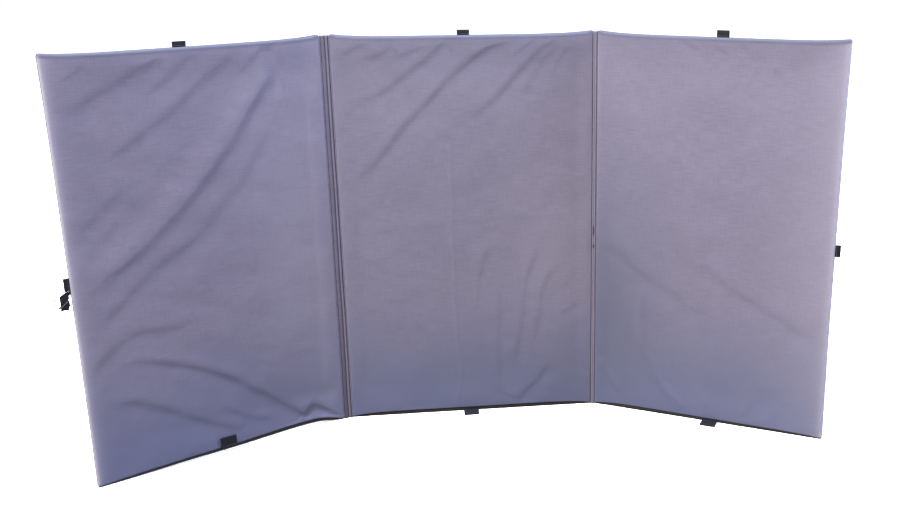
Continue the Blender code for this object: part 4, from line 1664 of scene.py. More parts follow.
@dataclass
class HookSet:
    """The strap sewn in under the left side loop, and the wire hook on it."""

    seat: Matrix
    neck_radius: float = 0.0020
    neck_top: float = 0.4822
    neck_bottom: float = 0.4745
    neck_reach: float = 0.0082
    strap_wall: float = 0.0015
    strap_width: float = 0.0198
    setback: float = 0.0024
    ring_place: float = 0.0137
    curl_back: float = 0.0028
    shoulder: float = 0.4740
    bottom: float = 0.4400
    roll: float = 0.0021
    wire: float = 0.0026
    ring_half: float = 0.0105
    ring_radius: float = 0.0030
    ring_height: float = 0.4560
    ring_slope: float = math.radians(36.87)
    hook_width: float = 0.0105
    hook_height: float = 0.0140
    hook_out: float = 0.0100
    hook_rise: float = 0.0060
    hook_start: float = -68.0
    hook_sweep: float = 148.0
    hook_steps: int = 40
    curl_turn: float = 1.55 * math.pi
    curl_tighter: float = 0.30
    curl_steps: int = 26
    curl_fade: float = 0.005

    def strap_path(self) -> Array:
        """The webbing's way down and round into its rolled end.

        Returns:
            The depth and height of each point, one a row.
        """
        down = [(0.0, z) for z in np.linspace(self.neck_top, self.bottom + 2 * self.roll + 1 * MM, 22)]
        centre = (self.roll * 0.55, self.bottom + self.roll + 0.8 * MM)
        curl = []
        for step in range(1, self.curl_steps + 1):
            angle = step / self.curl_steps * self.curl_turn
            radius = self.roll * (1 - self.curl_tighter * step / self.curl_steps)
            curl.append((centre[0] - radius * math.cos(angle) * 0.9, centre[1] - radius * math.sin(angle)))
        return np.array(down + curl)

    def across(self, places: Array) -> Array:
        """Where each place across lies: the neck reaches in, and the shoulder is cut away.

        Args:
            places: Places across the whole strap and up, one a row.

        Returns:
            The places across.
        """
        share = places[:, 0] / self.strap_width + 0.5
        z = places[:, 1]
        curled = 1 - smoothstep((z - self.bottom - 2 * self.roll - 1 * MM) / self.curl_fade)
        inner = np.where(z > self.neck_bottom, -self.neck_radius / 2, -self.setback - self.curl_back * curled)
        cut = np.clip((z - self.shoulder) / (self.neck_top - self.shoulder), 0, 1)
        outer = -(self.setback + self.strap_width) * (1 - cut) - self.neck_reach * cut
        return outer + (inner - outer) * share

    def wire_path(self) -> list:
        """The hook's centre line: a ring round the strap, then the open hook.

        Returns:
            The line's points.
        """
        rear = arc((self.ring_half, 0), self.ring_radius, math.radians(25), math.pi / 2, 8)
        inner = arc((-self.ring_half, 0), self.ring_radius, math.pi / 2, 3 * math.pi / 2, 18)
        front = arc((self.ring_half, 0), self.ring_radius, -math.pi / 2, math.radians(-35), 8)
        line = [Vector((along, depth, 0)) for along, depth in rear + inner + front]
        out = Vector((math.cos(self.ring_slope), -math.sin(self.ring_slope)))
        up = Vector((math.sin(self.ring_slope), math.cos(self.ring_slope)))
        for step in range(self.hook_steps + 1):
            turn = math.radians(self.hook_start + self.hook_sweep * step / self.hook_steps)
            spot = Vector((self.hook_out + self.hook_width * math.cos(turn),
                           self.hook_rise + self.hook_height * math.sin(turn)))
            line.append(Vector((spot.dot(out), 0, spot.dot(up))))
        return line

    def build(self, webbing: Finish, wire: Finish) -> list:
        """Make the strap and the hook.

        Args:
            webbing: The strap's material.
            wire: The hook's.

        Returns:
            The strap, its neck and the hook.
        """
        strap = ribbon("strap_webbing", self.strap_path(), self.strap_width, self.seat,
                       self.strap_wall, webbing, self.across, 10)
        fit(strap, "hook_strap", "hook_strap")
        return [strap, self.neck(webbing), self.hook(wire)]

    def neck(self, finish: Finish) -> Piece:
        """The sewn neck that the strap swings on.

        Args:
            finish: The webbing.

        Returns:
            The piece.
        """
        bm = bmesh.new()
        height = self.neck_top - self.neck_bottom
        bmesh.ops.create_cone(bm, cap_ends=True, segments=20, radius1=self.neck_radius,
                              radius2=self.neck_radius, depth=height)
        rims = [edge for edge in bm.edges if abs(edge.verts[0].co.z - edge.verts[1].co.z) < 1e-6]
        bmesh.ops.bevel(bm, geom=rims, offset=0.5 * MM, segments=3, profile=0.5,
                        affect="EDGES", material=-1)
        bmesh.ops.translate(bm, verts=bm.verts, vec=(0, 0, (self.neck_top + self.neck_bottom) / 2))
        bmesh.ops.transform(bm, matrix=self.seat, verts=bm.verts)
        obj = cloth_object("strap_neck", bm)
        points = read_points(obj)
        write_cloth_map(obj, points[:, [1, 2]])
        write_edges(obj, np.zeros(len(points)))
        obj.data.materials.append(finish)
        fit(obj, "hook_strap")
        return obj

    def hook(self, finish: Finish) -> Piece:
        """The bent wire with rounded ends.

        Args:
            finish: The wire's material.

        Returns:
            The piece.
        """
        curve = bpy.data.curves.new("hook_wire", "CURVE")
        curve.dimensions = "3D"
        curve.bevel_depth = self.wire / 2
        curve.bevel_resolution = 6
        curve.use_fill_caps = True
        line = self.with_round_ends(self.wire_path())
        spline = curve.splines.new("POLY")
        spline.points.add(len(line) - 1)
        for point, (spot, share) in zip(spline.points, line):
            point.co = (-spot.x, spot.y, spot.z, 1)
            point.radius = share
        holder = bpy.data.objects.new("hook_curve", curve)
        bpy.context.scene.collection.objects.link(holder)
        mesh = bpy.data.meshes.new_from_object(holder.evaluated_get(bpy.context.evaluated_depsgraph_get()))
        bpy.data.objects.remove(holder)
        middle = Vector((-self.ring_place, 0, self.ring_height))
        place = self.seat @ Matrix.Translation(middle) @ Matrix.Rotation(-self.ring_slope, 4, "Y")
        bm = bmesh.new()
        bm.from_mesh(mesh)
        bpy.data.meshes.remove(mesh)
        bmesh.ops.remove_doubles(bm, verts=bm.verts, dist=1e-6)
        bmesh.ops.transform(bm, matrix=place, verts=bm.verts)
        bmesh.ops.recalc_face_normals(bm, faces=bm.faces)
        obj = cloth_object("wire_hook", bm)
        obj.data.materials.append(finish)
        fit(obj, "hook", "hook")
        return obj

    def with_round_ends(self, line: list) -> list:
        """The centre line with short steps at its ends that take the wire down to a dome.

        Args:
            line: The centre line's points.

        Returns:
            Each point with its share of the wire's radius.
        """
        done = []
        radius = self.wire / 2
        for first, second, order in ((line[0], line[1], 1), (line[-1], line[-2], -1)):
            back = (first - second).normalized()
            tip = []
            for step in range(4):
                angle = math.pi / 2 * (3.6 - step) / 3.6
                tip.append((first + back * radius * math.sin(angle), max(math.cos(angle), 0.08)))
            done.append(tip if order > 0 else tip[::-1])
        return done[0] + [(spot, 1.0) for spot in line] + done[1]


# ---- stage


@dataclass
class Stage:
    """Floor, light and camera."""

    LIGHTS = (("key", (-2.08, -2.14, 6.26), (1.3, 1.3), 2100, (1.0, 0.98, 0.97)),
              ("left_rim", (-4.6, -1.1, 2.4), (2.0, 2.0), 170, (1.0, 0.99, 1.10)),
              ("right_rim", (3.7, -0.9, 2.0), (1.6, 1.6), 410, (0.55, 0.65, 1.0)))
    AIM = (0.0, 0, 0.5)

    camera_place: tuple = (-0.1353, -2.7166, 1.2614)
    forward: tuple = (0.1277, 0.9448, -0.3017)
    right: tuple = (0.9909, -0.1346, -0.0022)
    lens: float = 43.93
    shift: Point = (-0.1202, 0.0132)
    floor_size: float = 30.0
    world_strength: float = 0.80

    def floor(self) -> None:
        """The floor, which isn't part of the pad."""
        bm = bmesh.new()
        bmesh.ops.create_grid(bm, x_segments=2, y_segments=2, size=self.floor_size / 2)
        bmesh.ops.translate(bm, verts=bm.verts, vec=(0, 0, -0.0003))
        obj = cloth_object("floor", bm)
        obj.data.materials.append(FloorFinish().material())
        obj.visible_diffuse = False
        obj.visible_glossy = False

    def world(self) -> None:
        """Even pale surroundings: bluish from above, warm from below, white to the camera."""
        world = bpy.data.worlds.new("studio")
        bpy.context.scene.world = world
        world.use_nodes = True
        tree = world.node_tree
        back = tree.nodes["Background"]
        split = tree.nodes.new("ShaderNodeSeparateXYZ")
        place = tree.nodes.new("ShaderNodeTexCoord")
        tree.links.new(place.outputs["Generated"], split.inputs[0])
        up = (Signal(tree, split.outputs[2]) * 0.5 + 0.5).clamped()
        tint = tree.nodes.new("ShaderNodeMix")
        tint.data_type = "RGBA"
        tint.inputs[6].default_value = (1.38, 0.97, 0.62, 1)
        tint.inputs[7].default_value = (0.76, 1.0, 1.40, 1)
        tree.links.new(up.socket, tint.inputs[0])
        path = Signal(tree, tree.nodes.new("ShaderNodeLightPath").outputs["Is Camera Ray"])
        plain = tree.nodes.new("ShaderNodeMix")
        plain.data_type = "RGBA"
        plain.inputs[7].default_value = (1.0, 1.0, 1.0, 1)
        tree.links.new(path.socket, plain.inputs[0])
        tree.links.new(tint.outputs[2], plain.inputs[6])
        tree.links.new(plain.outputs[2], back.inputs["Color"])
        strength = path * (1.0 - self.world_strength) + self.world_strength
        tree.links.new(strength.socket, back.inputs["Strength"])

    def area(self, name: str, place: tuple, aim: tuple, size: Point, power: float, colour: tuple) -> None:
        """One soft area light.

        Args:
            name: The light's name.
            place: Where it stands.
            aim: The point that it faces.
            size: Its width and height.
            power: Its power in watts.
            colour: Its colour.
        """
        light = bpy.data.lights.new(name, "AREA")
        light.shape = "RECTANGLE"
        light.size, light.size_y = size
        light.energy = power
        light.color = colour
        obj = bpy.data.objects.new(name, light)
        bpy.context.scene.collection.objects.link(obj)
        obj.location = place
        obj.rotation_euler = (Vector(aim) - Vector(place)).to_track_quat("-Z", "Y").to_euler()

    def lights(self) -> None:
        """A soft key from high on the left, a faint rim on the left and a bluish one on the right."""
        for name, place, size, power, colour in self.LIGHTS:
            self.area(name, place, self.AIM, size, power, colour)

    def camera(self) -> None:
        """The camera at the photograph's place and angle."""
        data = bpy.data.cameras.new("camera")
        data.lens = self.lens
        data.sensor_width = 36.0
        data.shift_x, data.shift_y = self.shift
        camera = bpy.data.objects.new("camera", data)
        bpy.context.scene.collection.objects.link(camera)
        ahead = Vector(self.forward).normalized()
        right = Vector(self.right)
        right = (right - ahead * right.dot(ahead)).normalized()
        up = right.cross(ahead)
        turn = Matrix((right, up, -ahead)).transposed().to_4x4()
        camera.matrix_world = Matrix.Translation(self.camera_place) @ turn
        bpy.context.scene.camera = camera

    def build(self) -> None:
        """Set the whole stage."""
        self.camera()
        self.world()
        self.lights()
        self.floor()
        bpy.context.scene.view_settings.view_transform = "Standard"


# ---- folds


class Origin(Enum):
    """Where a panel's fold places are counted from, across."""

    RIGHT_SEAM = 1
    MIDDLE = 0
    LEFT_SEAM = -1


def sunk(drop: float, width: float, fade: float, ends: Point, *points: Point) -> Crease:
    """A step that drops so many millimetres along a path."""
    return Crease(points, drop=drop * MM, width=width, fade=fade, ends=ends)


def ridged(ridge: float, width: float, above: float, ends: Point, *points: Point) -> Crease:
    """A ridge so many millimetres high along a path, below 0 for a groove."""
    return Crease(points, ridge=ridge * MM, width=width, above=above, ends=ends)


def placed(folds: Sequence[Crease], origin: Origin, width: float) -> list:
    """Move folds from where their places are counted to the panel's frame.

    Args:
        folds: The folds.
        origin: Where the places across are counted from.
        width: The panel's width.

    Returns:
        The moved folds.
    """
    start = origin.value * width / 2
    way = -1 if origin is Origin.RIGHT_SEAM else 1
    return [replace(fold, path=tuple((start + way * u, z) for u, z in fold.path)) for fold in folds]


# The left panel's folds, counted from its seam with the wide gusset.
LEFT_FOLDS = (
    ridged(2.7, .0155, .036, (.11, .12), (.114, .99), (.122, .95), (.14, .91), (.16, .885),
        (.185, .855), (.212, .819), (.24, .78), (.269, .748), (.302, .71), (.34, .67), (.385, .627),
        (.43, .586), (.48, .549), (.53, .514), (.569, .486), (.603, .46)),
    sunk(.85, .013, .024, (.06, .12), (.125, .95), (.135, .915), (.155, .873), (.194, .815),
        (.225, .769), (.253, .74), (.29, .696), (.328, .656), (.375, .613)),
    sunk(1.55, .0155, .033, (.02, .11), (.215, .973), (.25, .944), (.281, .922), (.312, .894),
        (.344, .865), (.381, .84), (.419, .819), (.456, .794), (.494, .769), (.537, .746)),
    sunk(1.05, .0135, .026, (.02, .06), (.297, .978), (.338, .95), (.369, .925), (.4, .906),
        (.44, .887)),
    sunk(1.3, .0135, .037, (.02, .09), (.375, .979), (.419, .956), (.45, .94), (.487, .919), (.525, .9),
        (.569, .877), (.603, .857)),
    sunk(.85, .011, .022, (.02, .02), (.525, .973), (.562, .953), (.598, .935)),
    sunk(1.15, .012, .024, (.015, .06), (.14, .988), (.169, .953), (.194, .931), (.223, .907)),
    sunk(1.15, .0165, .037, (.06, .06), (.122, .819), (.144, .781), (.165, .75), (.188, .715),
        (.212, .675), (.25, .637), (.281, .613), (.312, .581), (.344, .556), (.375, .535)),
    sunk(1.55, .0155, .044, (.06, .03), (.325, .569), (.375, .535), (.413, .515), (.438, .497),
        (.469, .475), (.5, .448), (.531, .42), (.573, .392)),
    sunk(1.05, .014, .029, (.03, .02), (.485, .695), (.525, .662), (.562, .631), (.588, .61)),
    sunk(.55, .0135, .026, (.02, .02), (.497, .627), (.537, .594), (.573, .566)),
    sunk(1.7, .015, .035, (.04, .12), (.603, .262), (.588, .297), (.565, .319), (.537, .34),
        (.506, .353), (.469, .358), (.431, .354), (.381, .358), (.325, .375)),
    sunk(2.25, .0115, .031, (.08, .008), (.542, .287), (.5, .284), (.456, .275), (.413, .26),
        (.375, .241), (.325, .213), (.281, .181), (.244, .15), (.206, .119), (.169, .086), (.135, .055),
        (.106, .03)),
    sunk(1.75, .013, .031, (.09, .02), (.6, .193), (.55, .194), (.506, .181), (.463, .156),
        (.419, .129), (.381, .106), (.344, .081), (.306, .06), (.273, .035)),
    sunk(1.1, .0105, .02, (.03, .02), (.328, .121), (.294, .103), (.263, .078), (.231, .06),
        (.194, .041)),
    sunk(2.4, .0105, .024, (.008, .02), (.114, .032), (.1, .041), (.081, .051), (.066, .046),
        (.045, .032), (.02, .021), (.003, .014)),
    ridged(-1.1, .01, 0.0, (.02, .02), (.118, .019), (.081, .034), (.037, .02)),
    ridged(-1.3, .011, 0.0, (.02, .07), (.126, .988), (.122, .944), (.118, .894), (.12, .838)),
    ridged(1.55, .012, .026, (.12, .08), (.033, .912), (.034, .688), (.033, .463), (.035, .25),
        (.033, .075)),
    ridged(-.32, .006, 0.0, (.08, .08), (.195, .65), (.196, .5), (.195, .375), (.198, .262)),
)

# The middle panel's folds, counted from its middle.
MIDDLE_FOLDS = (
    sunk(2.05, .012, .031, (.03, .12), (.116, .981), (.088, .973), (.056, .96), (.025, .938),
        (-.006, .915), (-.034, .894), (-.059, .869), (-.088, .838), (-.119, .806), (-.15, .775),
        (-.179, .738), (-.206, .703), (-.231, .677), (-.259, .661), (-.294, .655)),
    sunk(1.5, .0118, .029, (.015, .09), (-.041, .984), (-.062, .965), (-.081, .948), (-.106, .927),
        (-.138, .902), (-.175, .877), (-.212, .856), (-.244, .835), (-.281, .815)),
    sunk(1.65, .0118, .029, (.02, .09), (.229, .985), (.2, .969), (.175, .944), (.15, .915),
        (.119, .887), (.094, .86), (.066, .831), (.037, .806), (.004, .781)),
    sunk(.81, .009, .02, (.02, .02), (-.072, .978), (-.106, .963), (-.138, .95), (-.164, .938)),
    sunk(.81, .009, .02, (.01, .02), (-.176, .978), (-.194, .956), (-.212, .946), (-.239, .934)),
    sunk(.72, .009, .02, (.01, .02), (-.231, .98), (-.263, .963), (-.299, .945)),
    sunk(.65, .006, .015, (.01, .02), (.179, .988), (.156, .969), (.138, .953), (.114, .934)),
    sunk(.78, .009, .022, (.02, .05), (.231, .97), (.206, .944), (.188, .919), (.169, .885),
        (.146, .85), (.129, .82)),
    sunk(.59, .009, .02, (.02, .03), (.261, .97), (.238, .938), (.225, .91), (.214, .875)),
    ridged(-.3, .006, 0.0, (.02, .02), (.201, .775), (.204, .75), (.199, .71)),
    ridged(.65, .0048, 0.0, (.3, .02), (-.041, .881), (-.04, .625), (-.041, .463), (-.039, .3),
        (-.035, .2), (-.03, .125), (-.036, .062), (-.048, .015)),
    sunk(.22, .0075, .018, (.04, .05), (-.289, .463), (-.256, .49), (-.231, .505), (-.181, .512),
        (-.119, .512), (-.069, .515), (-.034, .525), (.131, .53), (.306, .53)),
    sunk(1.1, .01, .022, (.05, .08), (.064, .478), (.056, .463), (.044, .438), (.034, .406),
        (.025, .372), (.021, .338), (.019, .3), (.016, .252)),
    sunk(1.45, .011, .024, (.06, .08), (.196, .475), (.175, .438), (.163, .406), (.15, .369),
        (.141, .325), (.135, .275), (.129, .225), (.122, .175), (.115, .112)),
    sunk(1.2, .0108, .022, (.06, .08), (.241, .415), (.212, .375), (.194, .338), (.184, .3),
        (.177, .25), (.169, .2), (.159, .152)),
    sunk(1.15, .0095, .022, (.08, .03), (.076, .381), (.072, .325), (.075, .262), (.071, .188),
        (.071, .125), (.075, .04)),
    sunk(1.75, .0112, .033, (.04, .01), (.204, .135), (.188, .1), (.169, .075), (.15, .06),
        (.134, .042), (.122, .02)),
    sunk(.55, .009, .02, (.03, .03), (.306, .3), (.256, .277), (.224, .26)),
    ridged(.7, .014, 0.0, (.12, .08), (-.284, .925), (-.289, .5), (-.285, .1)),
    ridged(.6, .02, 0.0, (.03, .02), (.181, .05), (.244, .081), (.294, .1)),
)

# The right panel's folds, counted from its seam with the narrow gusset.
RIGHT_FOLDS = (
    sunk(1.7, .0165, .04, (.04, .06), (.02, .468), (.062, .438), (.094, .412), (.125, .387),
        (.163, .369), (.194, .35), (.225, .331), (.256, .306), (.294, .282)),
    sunk(1.55, .015, .04, (.05, .05), (.273, .438), (.312, .41), (.35, .381), (.381, .362),
        (.419, .344), (.45, .321), (.487, .31), (.525, .287), (.57, .257)),
    ridged(1.9, .013, .014, (.14, .01), (.13, .375), (.125, .3), (.126, .237), (.136, .185),
        (.158, .137), (.182, .098), (.208, .062), (.24, .02)),
    ridged(1.0, .01, .011, (.015, .02), (.01, .137), (.031, .105), (.052, .075), (.075, .045)),
    sunk(.59, .012, .022, (.02, .02), (.21, .2), (.231, .156), (.247, .129)),
    ridged(.6, .01, 0.0, (.02, .015), (.265, .1), (.288, .069), (.315, .035)),
    sunk(.78, .0105, .022, (.02, .01), (.453, .094), (.425, .056), (.4, .025)),
    sunk(.65, .0105, .02, (.02, .01), (.51, .065), (.487, .042), (.47, .02)),
    sunk(.72, .0075, .018, (.01, .02), (.21, .983), (.238, .973), (.265, .95), (.278, .935)),
    sunk(.59, .0075, .015, (.01, .02), (.29, .973), (.319, .96), (.343, .945)),
    sunk(.72, .0075, .018, (.01, .02), (.345, .985), (.365, .973), (.388, .95), (.405, .932)),
    ridged(.5, .014, 0.0, (.12, .08), (.037, .925), (.033, .625), (.037, .2)),
)


def back_creases(seed: int) -> list:
    """A few long soft folds in a panel's black back, away from its edges.

    Args:
        seed: The seed of their places and depths.

    Returns:
        The folds.
    """
    rng = np.random.default_rng(seed)
    found = []
    for _ in range(7):
        x, z = rng.uniform(-0.22, 0.22), rng.uniform(0.12, 0.85)
        turn, length = rng.uniform(-1.2, 1.2), rng.uniform(0.10, 0.24)
        way = np.array([math.cos(turn), math.sin(turn)]) * length / 2
        bow = np.array([-way[1], way[0]]) * rng.uniform(-0.35, 0.35)
        middle = np.array([x, z])
        path = tuple(map(tuple, (middle - way, middle - way / 3 + bow, middle + way / 3 + bow, middle + way)))
        found.append(Crease(path, drop=rng.uniform(0.2, 0.45) * MM, width=rng.uniform(.006, .011), fade=.03))
    return found


# ---- whole pad


class CrashPad:
    """The pad: three panels, two gussets, eight loops, the strap and the hook."""

    SEAM_OFFSET = 0.0009
    WIDE_SINK = 0.0009
    NARROW_SINK = 0.0041
    WIDE_LENGTH = 0.0222
    NARROW_LENGTH = 0.0110
    LEFT_FOLD = math.radians(28.7)
    RIGHT_FOLD = math.radians(29.0)
    # Each row: place across, depth, and the painted shade of the gusset's grooves and bands.
    WIDE_PROFILE = tuple((place * MM, depth * MM, shade) for place, depth, shade in (
        (-1.6, 0.5, 0.1), (-0.6, -0.1, 0.0), (0.3, -0.3, 0.05), (1.0, 0.2, 0.3),
        (1.6, 1.3, 0.9), (2.3, 1.9, 1.0), (3.0, 1.3, 0.9), (3.9, 0.1, 0.40), (5.4, -0.8, 0.12),
        (7.2, -0.8, 0.0), (8.4, 0.2, 0.35),
        (9.2, 1.3, 0.95), (9.9, 1.9, 1.0), (10.6, 1.3, 0.9), (11.6, 0.3, 0.55), (14.0, -0.4, 0.46),
        (16.6, -0.4, 0.46), (18.6, 0.2, 0.60), (19.6, 1.2, 0.85), (20.2, 1.6, 0.95), (20.8, 1.0, 0.7),
        (21.3, 0.1, 0.15), (22.0, -0.3, 0.0), (22.8, -0.1, 0.0), (23.8, 0.5, 0.1)))
    NARROW_PROFILE = tuple((place * MM, depth * MM, shade) for place, depth, shade in (
        (-1.6, -0.6, 0.5), (-0.4, -0.9, 0.35), (0.6, -2.0, 0.05), (2.2, -3.1, 0.0), (3.9, -3.1, 0.0),
        (4.8, -2.6, 0.15), (5.2, -2.4, 0.25), (5.6, -2.6, 0.15), (6.6, -3.1, 0.0), (8.4, -3.0, 0.0),
        (9.6, -2.0, 0.15), (10.8, -1.1, 0.6), (12.0, -0.6, 0.9), (12.6, -0.6, 1.0)))
    NARROW_GAPS = ((0.487, 0.012), (0.445, 0.005))
    LOOP_WIDTH = 0.030
    FLOOR_LOOP_WIDTH = 0.040
    WEBBING = 0.0014
    LOOP_EYE = 0.0008
    BOW = 0.0003
    TOP_LOOPS = (("left", -0.0175, 0.0125), ("middle", 0.0, 0.0125), ("right", 0.0065, 0.0165))
    SIDE_LOOP_PLACE = 0.498
    SIDE_LOOP_REACH = 0.0125
    FLOOR_LOOP_REACH = 0.027
    TACK_HEIGHT = 0.0026
    TACK_STAND = 0.2 * MM
    STRAP_TOP = 0.4822
    STRAP_AXIS = 0.0020

    def __init__(self) -> None:
        """Work out where the panels and gussets stand, and mix the finishes."""
        front = SIZES.front
        left_width, middle_width, right_width = 0.625, 0.638, 0.610
        seam = middle_width / 2 + self.SEAM_OFFSET
        self.left_inner = (Matrix.Translation((-seam, front + self.WIDE_SINK, 0))
                           @ Matrix.Rotation(self.LEFT_FOLD / 2, 4, "Z"))
        left_outer = (self.left_inner @ Matrix.Translation((-self.WIDE_LENGTH, 0, 0))
                      @ Matrix.Rotation(self.LEFT_FOLD / 2, 4, "Z"))
        left_seat = left_outer @ Matrix.Translation(
            (-(self.SEAM_OFFSET + left_width / 2), -front - self.WIDE_SINK, 0))
        self.right_inner = (Matrix.Translation((seam, front + self.NARROW_SINK, 0))
                            @ Matrix.Rotation(-self.RIGHT_FOLD / 2, 4, "Z"))
        right_outer = (self.right_inner @ Matrix.Translation((self.NARROW_LENGTH, 0, 0))
                       @ Matrix.Rotation(-self.RIGHT_FOLD / 2, 4, "Z"))
        right_seat = right_outer @ Matrix.Translation(
            (self.SEAM_OFFSET + right_width / 2, -front - self.NARROW_SINK, 0))
        # Each panel gets broad patches of painted light and painted shade on its face.
        self.left = Panel("left", "left_wing", left_width, 0.0098, -1, left_seat, 11,
                          placed(LEFT_FOLDS, Origin.RIGHT_SEAM, left_width), back_creases(3),
                          flex=0.010, lift=0.0075, hem_lean=0.0026,
                          painted_shading=((0.24, 0.45, 0.14, 0.6, 0.36),))
        self.middle = Panel("middle", "middle_panel", middle_width, 0.0112, 0, Matrix.Identity(4), 23,
                            placed(MIDDLE_FOLDS, Origin.MIDDLE, middle_width), back_creases(5),
                            painted_shading=((0.0, 1.0, 0.6, 0.10, -0.28), (0.20, 0.45, 0.12, 0.25, 0.22),
                                    (0.0, 0.02, 0.4, 0.12, -0.18)))
        self.right = Panel("right", "right_wing", right_width, 0.0096, 1, right_seat, 37,
                           placed(RIGHT_FOLDS, Origin.LEFT_SEAM, right_width), back_creases(8),
                           hem_lean=-0.0026, painted_shading=(
                               (-0.30, 0.28, 0.17, 0.34, -0.62), (0.0, 1.0, 0.9, 0.04, -0.25),
                               (0.33, 0.5, 0.16, 0.9, 0.42)))
        # The face takes the painted shade towards its foot, and the dark bluish painted shade of its top rim
        # and dim patches.
        self.face = WovenFinish("grey_oxford", painted_low_share=1.0).material()
        self.base = WovenFinish("black_oxford", colour=(0.0062, 0.0062, 0.0078), dark=(0.004, 0.004, 0.005),
                                wear_and_shading_colour=(0.024, 0.024, 0.028), pitch=0.0009, roughness=0.58, sheen=0.02,
                                yarn_depth=0.00018, wear_and_shading_share=0.5).material()
        # The gusset's edge colour is dark: painted shade in its grooves.
        self.gusset = WovenFinish("gusset_oxford", colour=(0.083, 0.076, 0.106), dark=(0.067, 0.061, 0.087),
                                  wear_and_shading_colour=(0.016, 0.014, 0.026), pitch=0.0007, roughness=0.78, sheen=0.04,
                                  wear_and_shading_share=1.35).material()
        self.webbing = WebbingFinish("black_webbing").material()
        self.wire = WireFinish("bright_wire").material()
        self.thread = ThreadFinish("black_thread").material()
        self.soft_foam = FoamFinish("open_cell_foam", (0.40, 0.36, 0.25), (0.26, 0.22, 0.14),
                                    0.0014, 0.0004).material()
        self.firm_foam = FoamFinish("closed_cell_foam", (0.04, 0.075, 0.15), (0.024, 0.048, 0.10),
                                    0.0007, 0.00015).material()

    def hairpin(self, height: float, bow: float) -> Array:
        """A loop of webbing pressed nearly flat: up one ply, round the end and down the other.

        Args:
            height: How far the loop stands out of its seam.
            bow: How far each ply bows out.

        Returns:
            The depth and height of each point, one a row.
        """
        spread = (self.WEBBING + self.LOOP_EYE) / 2
        high = height - spread - self.WEBBING / 2
        up = [(spread + bow * math.sin(math.pi * t), high * t) for t in np.linspace(0, 1, 9)[:-1]]
        turn = arc((0, high), spread, 0, math.pi, 12)
        down = [(-spread - bow * math.sin(math.pi * t), high * t) for t in np.linspace(1, 0, 9)[1:]]
        return np.array(up + turn + down)

    def floor_path(self, panel: Panel) -> Array:
        """A loop sewn into the hem's seam and lying forward on the floor.

        Args:
            panel: The panel.

        Returns:
            The depth and height of each point, one a row.
        """
        low = self.WEBBING / 2 + SIZES.gap
        high = low + self.WEBBING + self.LOOP_EYE
        near = SIZES.front - SIZES.gap - self.WEBBING / 2
        reach = near - self.FLOOR_LOOP_REACH
        points = [(near, panel.hem), (near - 0.0002, 0.55 * panel.hem + 0.2 * high),
                  (near - 0.0016, high + 0.0006), (near - 0.006, high + 0.0003),
                  (near - 0.016, high + 0.0007), (reach + 0.003, high + 0.0002)]
        tip = arc((reach + 0.0012, (low + high) / 2), (high - low) / 2, math.pi / 2, 3 * math.pi / 2, 10)
        back = [(reach + 0.004, low), (near - 0.014, low), (near - 0.0045, low), (near - 0.0022, low)]
        return np.vstack([curved(points, 5), np.array(tip), curved(back, 5)])

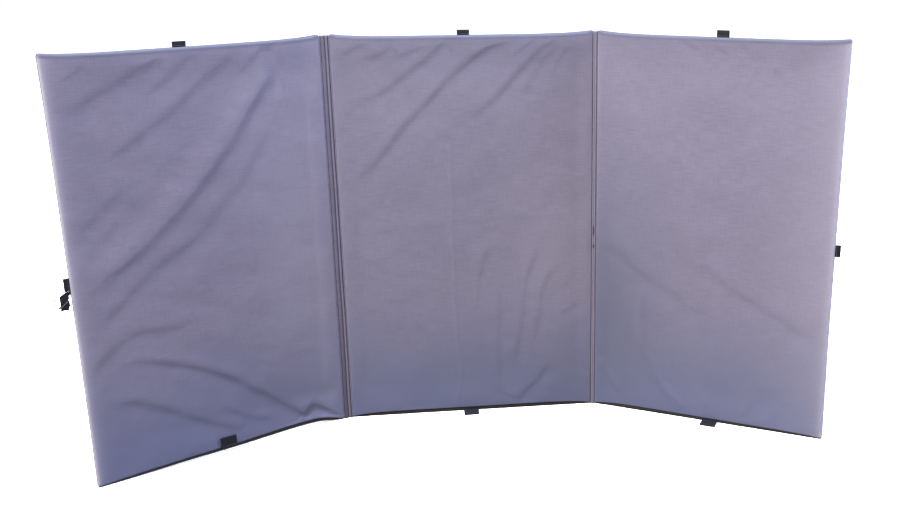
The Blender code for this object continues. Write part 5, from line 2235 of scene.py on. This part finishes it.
    def loops(self) -> list:
        """The eight loops.

        Returns:
            The loops.
        """
        seam_y = SIZES.front + SIZES.side_seam
        tack_out = (self.WEBBING + self.LOOP_EYE) / 2 + self.WEBBING / 2 + self.TACK_STAND
        panels = {panel.name: panel for panel in (self.left, self.middle, self.right)}
        foot = SIZES.height - SIZES.top_draw + SIZES.gap
        found = []
        for name, shift, height in self.TOP_LOOPS:
            seat = Matrix.Translation((shift, seam_y, foot))
            found.append(Loop(name + "_top_loop", panels[name], self.hairpin(height, self.BOW),
                              self.LOOP_WIDTH, seat, self.TACK_HEIGHT, tack_out))
        for panel in (self.left, self.right):
            height = self.SIDE_LOOP_PLACE
            wall = float(panel.side_line(panel.outer, np.array(2 * height / SIZES.height - 1)))
            seat = (Matrix.Translation((panel.outer * (wall + SIZES.gap), seam_y, height))
                    @ Matrix.Rotation(panel.outer * math.pi / 2, 4, "Y"))
            found.append(Loop(panel.name + "_side_loop", panel, self.hairpin(self.SIDE_LOOP_REACH, self.BOW),
                              self.LOOP_WIDTH, seat, self.TACK_HEIGHT, tack_out))
        reach = self.WEBBING + self.LOOP_EYE / 2
        foot = self.left.hem + 0.0012 + float(self.left.raised(np.array(0.0)))
        seat = Matrix.Translation((0, SIZES.front - 0.0005 - reach, foot))
        found.append(Loop("left_floor_loop", self.left, self.hairpin(self.FLOOR_LOOP_REACH, 0.0002),
                          self.FLOOR_LOOP_WIDTH, seat, 0.0030, tack_out, "left_fold_outer", 0.10))
        for panel, shift in ((self.middle, -0.006), (self.right, 0.015)):
            found.append(Loop(panel.name + "_floor_loop", panel, self.floor_path(panel),
                              self.FLOOR_LOOP_WIDTH, Matrix.Translation((shift, 0, 0)),
                              0.0036, 0.0, "right_fold_outer", 0.02))
        return found

    def hooks(self) -> HookSet:
        """The strap and hook, where the left panel's side carries them.

        Returns:
            The strap and hook, not yet built.
        """
        upward = np.array(2 * self.STRAP_TOP / SIZES.height - 1)
        wall = float(self.left.side_line(-1, upward))
        swing = Vector((-(wall + SIZES.gap + self.STRAP_AXIS), SIZES.front + SIZES.side_seam, 0))
        return HookSet(self.left.seat @ Matrix.Translation(swing))

    def build(self) -> None:
        """Build every piece and log it."""
        made = []
        for panel in (self.left, self.middle, self.right):
            made.append(FaceCover(panel, self.face).build())
            made.append(BaseCover(panel, self.base).build())
            made += Foam(panel, self.soft_foam, self.firm_foam).build()
        flipped = self.left_inner @ Matrix.Rotation(math.pi, 4, "Z") @ Matrix.Scale(-1, 4, (0, 1, 0))
        made.append(Gusset("left_gusset", "left_gusset", "left_fold_outer", self.WIDE_LENGTH,
                           flipped, self.WIDE_PROFILE, 71, low_shade=0.5).build(self.gusset))
        made.append(Gusset("right_gusset", "right_gusset", "right_fold_outer", self.NARROW_LENGTH,
                           self.right_inner, self.NARROW_PROFILE, 83, swell=0.0005, slip=0.0003,
                           gaps=self.NARROW_GAPS).build(self.gusset))
        for loop in self.loops():
            made += loop.build(self.webbing, self.thread)
        made += self.hooks().build(self.webbing, self.wire)
        for obj in made:
            LOG.info("%s: %d faces", obj.name, len(obj.data.polygons))


def main() -> None:
    """Build the stage and the pad."""
    logging.basicConfig(level=logging.INFO, format="%(message)s")
    Stage().build()
    CrashPad().build()


if __name__ == "__main__":
    main()
